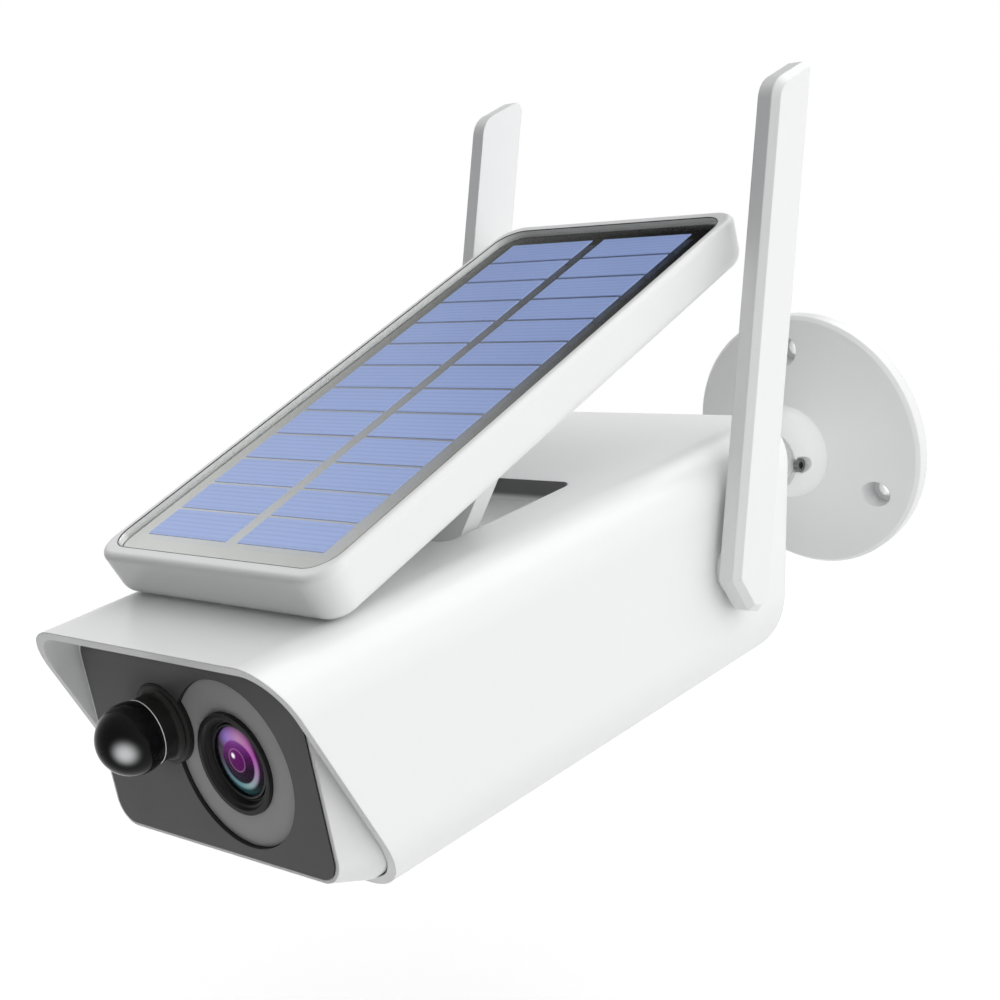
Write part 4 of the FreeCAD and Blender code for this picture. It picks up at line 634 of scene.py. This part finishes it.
def make_pane_edge_shade():
    """Dark bead in the joint between cover pane and frame, a painted shade line at the pane's edge."""
    low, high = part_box("panel_glass")
    span = high - low
    # A tilted pane of length L and thickness T spans L cos + T sin along Y and L sin + T cos
    # along Z. Solved for L:
    length = ((span.y * math.cos(PANEL_TILT) - span.z * math.sin(PANEL_TILT))
              / math.cos(2 * PANEL_TILT))
    path = rounded_loop(span.x / 2, length / 2, PANE_CORNER)
    count = len(path)
    angles = [2 * math.pi * k / EDGE_SHADE_BEAD_SIDES for k in range(EDGE_SHADE_BEAD_SIDES)]
    upward = Vector((0, 0, 1))
    work = bmesh.new()
    rings = []
    for n, point in enumerate(path):
        along = (path[(n + 1) % count] - path[n - 1]).normalized()
        outward = along.cross(upward)
        rings.append([
            work.verts.new(point + EDGE_SHADE_BEAD_RADIUS * (outward * math.cos(a) + upward * math.sin(a)))
            for a in angles])
    for n in range(count):
        join_rings(work, rings[n], rings[(n + 1) % count])
    lift = Matrix.Translation((0, 0, PANE_HALF_THICKNESS + EDGE_SHADE_BEAD_HEIGHT))
    place = Matrix.Translation(PANEL_CENTRE) @ Matrix.Rotation(PANEL_TILT, 4, "X") @ lift
    # Painted shade: the bead is near black.
    finish = satin_plastic("pane_edge_shade_finish", tone(0.02), tone(0.014), 0.6)
    add_piece("pane_edge_painted_shade", work, place, finish, "panel")


# ---------------------------------------------------------------- stage, light and camera

PHOTO_AZIMUTH = 45.846
PHOTO_ELEVATION = 15.01
PHOTO_ROLL = -10.865
CAMERA_PLACE = Vector((0.2986, -0.4228, 0.1355))
SENSOR_WIDTH = 36
FOCAL_LENGTH = 1.764 * SENSOR_WIDTH
FLOOR_RADIUS = 1.6
FLOOR_FADE_START = 0.25
FLOOR_FADE_END = 0.7
# The floor lies below the camera's nose when the ball joint is tilted fully down.
TILT_DOWN = math.radians(joint("socket_tilt")["range_deg"][1])
FLOOR_Z = CAD_BOX[0].z * math.cos(TILT_DOWN) + CAD_BOX[0].y * math.sin(TILT_DOWN)


def make_camera():
    """Camera at the photograph's viewing angle, rolled as the photograph is."""
    azimuth, elevation, roll = (
        math.radians(a) for a in (PHOTO_AZIMUTH, PHOTO_ELEVATION, PHOTO_ROLL))
    back = Vector((math.sin(azimuth) * math.cos(elevation),
                   -math.cos(azimuth) * math.cos(elevation), math.sin(elevation)))
    level = Vector((math.cos(azimuth), math.sin(azimuth), 0))
    upright = back.cross(level)
    right = level * math.cos(roll) + upright * math.sin(roll)
    up = upright * math.cos(roll) - level * math.sin(roll)
    camera = bpy.data.objects.new("camera", bpy.data.cameras.new("camera"))
    camera.data.sensor_width = SENSOR_WIDTH
    camera.data.lens = FOCAL_LENGTH
    camera.data.clip_start = 0.01
    camera.matrix_world = Matrix((
        (right.x, up.x, back.x, CAMERA_PLACE.x),
        (right.y, up.y, back.y, CAMERA_PLACE.y),
        (right.z, up.z, back.z, CAMERA_PLACE.z),
        (0, 0, 0, 1)))
    bpy.context.scene.collection.objects.link(camera)
    bpy.context.scene.camera = camera


class WorldShader(Shader):
    """The same helper working on the world's node tree."""

    def __init__(self, world):
        world.use_nodes = True
        self.tree = world.node_tree
        self.tree.nodes.clear()
        self.out = self.tree.nodes.new("ShaderNodeOutputWorld")
        self.point = self.node("ShaderNodeTexCoord").outputs["Generated"]

    def finish(self, shader):
        self.tree.links.new(shader, self.out.inputs["Surface"])

    def background(self, strength):
        return self.node("ShaderNodeBackground", {
            "Color": tone(1.0), "Strength": strength}).outputs[0]

    def patch(self, bearing, height, bearing_range, height_range):
        """1 inside a soft-edged patch of the surroundings and 0 outside it."""
        shares = []
        for value, (start, full, fading, end) in (
                (bearing, bearing_range), (height, height_range)):
            shares += [self.smooth(value, start, full), self.smooth(value, end, fading)]
        return self.product(*shares)


# Light that falls on matt surfaces: an even part and a part that grows towards one direction.
EVEN_LIGHT = 0.6
SIDE_LIGHT = Vector((0.66, 0.98, 0.53))
BRIGHTEST = 1.5
# What mirrors show: where a dark card and a lamp stand, in degrees round the object and up from
# level. Each range is where it starts, is full, begins to fade and ends.
CARD_BEARING = (12, 45, 60, 68)
CARD_HEIGHT = (16, 22, 50, 62)
LAMP_BEARING = (66, 84, 130, 150)
LAMP_HEIGHT = (22, 36, 66, 80)
LAMP_STRENGTH = 1.9


def make_world():
    """White backdrop for the camera, soft directional light for matt surfaces, and a room of
    light and dark cards for reflections."""
    world = bpy.data.worlds.new("studio")
    bpy.context.scene.world = world
    shader = WorldShader(world)
    matt = shader.math("ADD", shader.vector("DOT_PRODUCT", shader.point, tuple(SIDE_LIGHT)),
                       EVEN_LIGHT)
    matt = shader.math("MINIMUM", shader.math("MAXIMUM", matt, 0.0), BRIGHTEST)

    x, y, z = shader.parts(shader.point)
    bearing = shader.math("ARCTAN2", y, shader.math("MULTIPLY", x, -1.0))
    bearing = shader.math("DEGREES", bearing)
    height = shader.math("DEGREES", shader.math("ARCSINE", z))
    room = shader.smooth(y, -0.9, 0.2, 0.4, 0.95)
    card = shader.patch(bearing, height, CARD_BEARING, CARD_HEIGHT)
    lamp = shader.patch(bearing, height, LAMP_BEARING, LAMP_HEIGHT)
    room = shader.math("MULTIPLY", room, shader.math("SUBTRACT", 1.0, card))
    room = shader.math("ADD", room, shader.math("MULTIPLY", lamp, LAMP_STRENGTH))

    path = shader.node("ShaderNodeLightPath")
    mirror = shader.background(room)
    soft = shader.background(matt)
    backdrop = shader.background(1.0)
    light = shader.blend_shaders(path.outputs["Is Glossy Ray"], soft, mirror)
    light = shader.blend_shaders(path.outputs["Is Camera Ray"], light, backdrop)
    shader.finish(light)
    bpy.context.scene.view_settings.view_transform = "Standard"


def make_floor():
    """Pale floor that fades into the backdrop, so only its soft shadow shows. It can't be seen
    from below, so that it doesn't hide the underside."""
    mesh = bpy.data.meshes.new("floor")
    work = bmesh.new()
    bmesh.ops.create_circle(work, cap_ends=True, segments=96, radius=FLOOR_RADIUS)
    work.to_mesh(mesh)
    work.free()
    floor = bpy.data.objects.new("floor", mesh)
    floor.location = (middle("outer_shell").x, middle("outer_shell").y, FLOOR_Z)
    bpy.context.scene.collection.objects.link(floor)
    floor.visible_glossy = False
    shader = Shader("floor")
    distance = shader.vector("LENGTH", shader.point)
    below = shader.node("ShaderNodeNewGeometry").outputs["Backfacing"]
    faded = shader.smooth(distance, FLOOR_FADE_START, FLOOR_FADE_END)
    fade = shader.math("MAXIMUM", faded, below)
    grain = shader.noise(30, 3)
    matt = shader.node("ShaderNodeBsdfDiffuse", {
        "Color": shader.mix(grain, tone(0.73), tone(0.75))}).outputs[0]
    glow = shader.node("ShaderNodeEmission", {"Color": tone(1.0), "Strength": 0.4}).outputs[0]
    path = shader.node("ShaderNodeLightPath")
    shown = shader.node("ShaderNodeAddShader", {0: matt, 1: glow}).outputs[0]
    bright = shader.node("ShaderNodeBsdfDiffuse", {"Color": tone(0.93)}).outputs[0]
    surface = shader.blend_shaders(path.outputs["Is Camera Ray"], bright, shown)
    clear = shader.node("ShaderNodeBsdfTransparent").outputs[0]
    mesh.materials.append(shader.finish(shader.blend_shaders(fade, surface, clear)))


dress_nodes()
make_lens_elements()
make_seam_painted_highlight()
make_pane_edge_shade()
make_camera()
make_world()
make_floor()
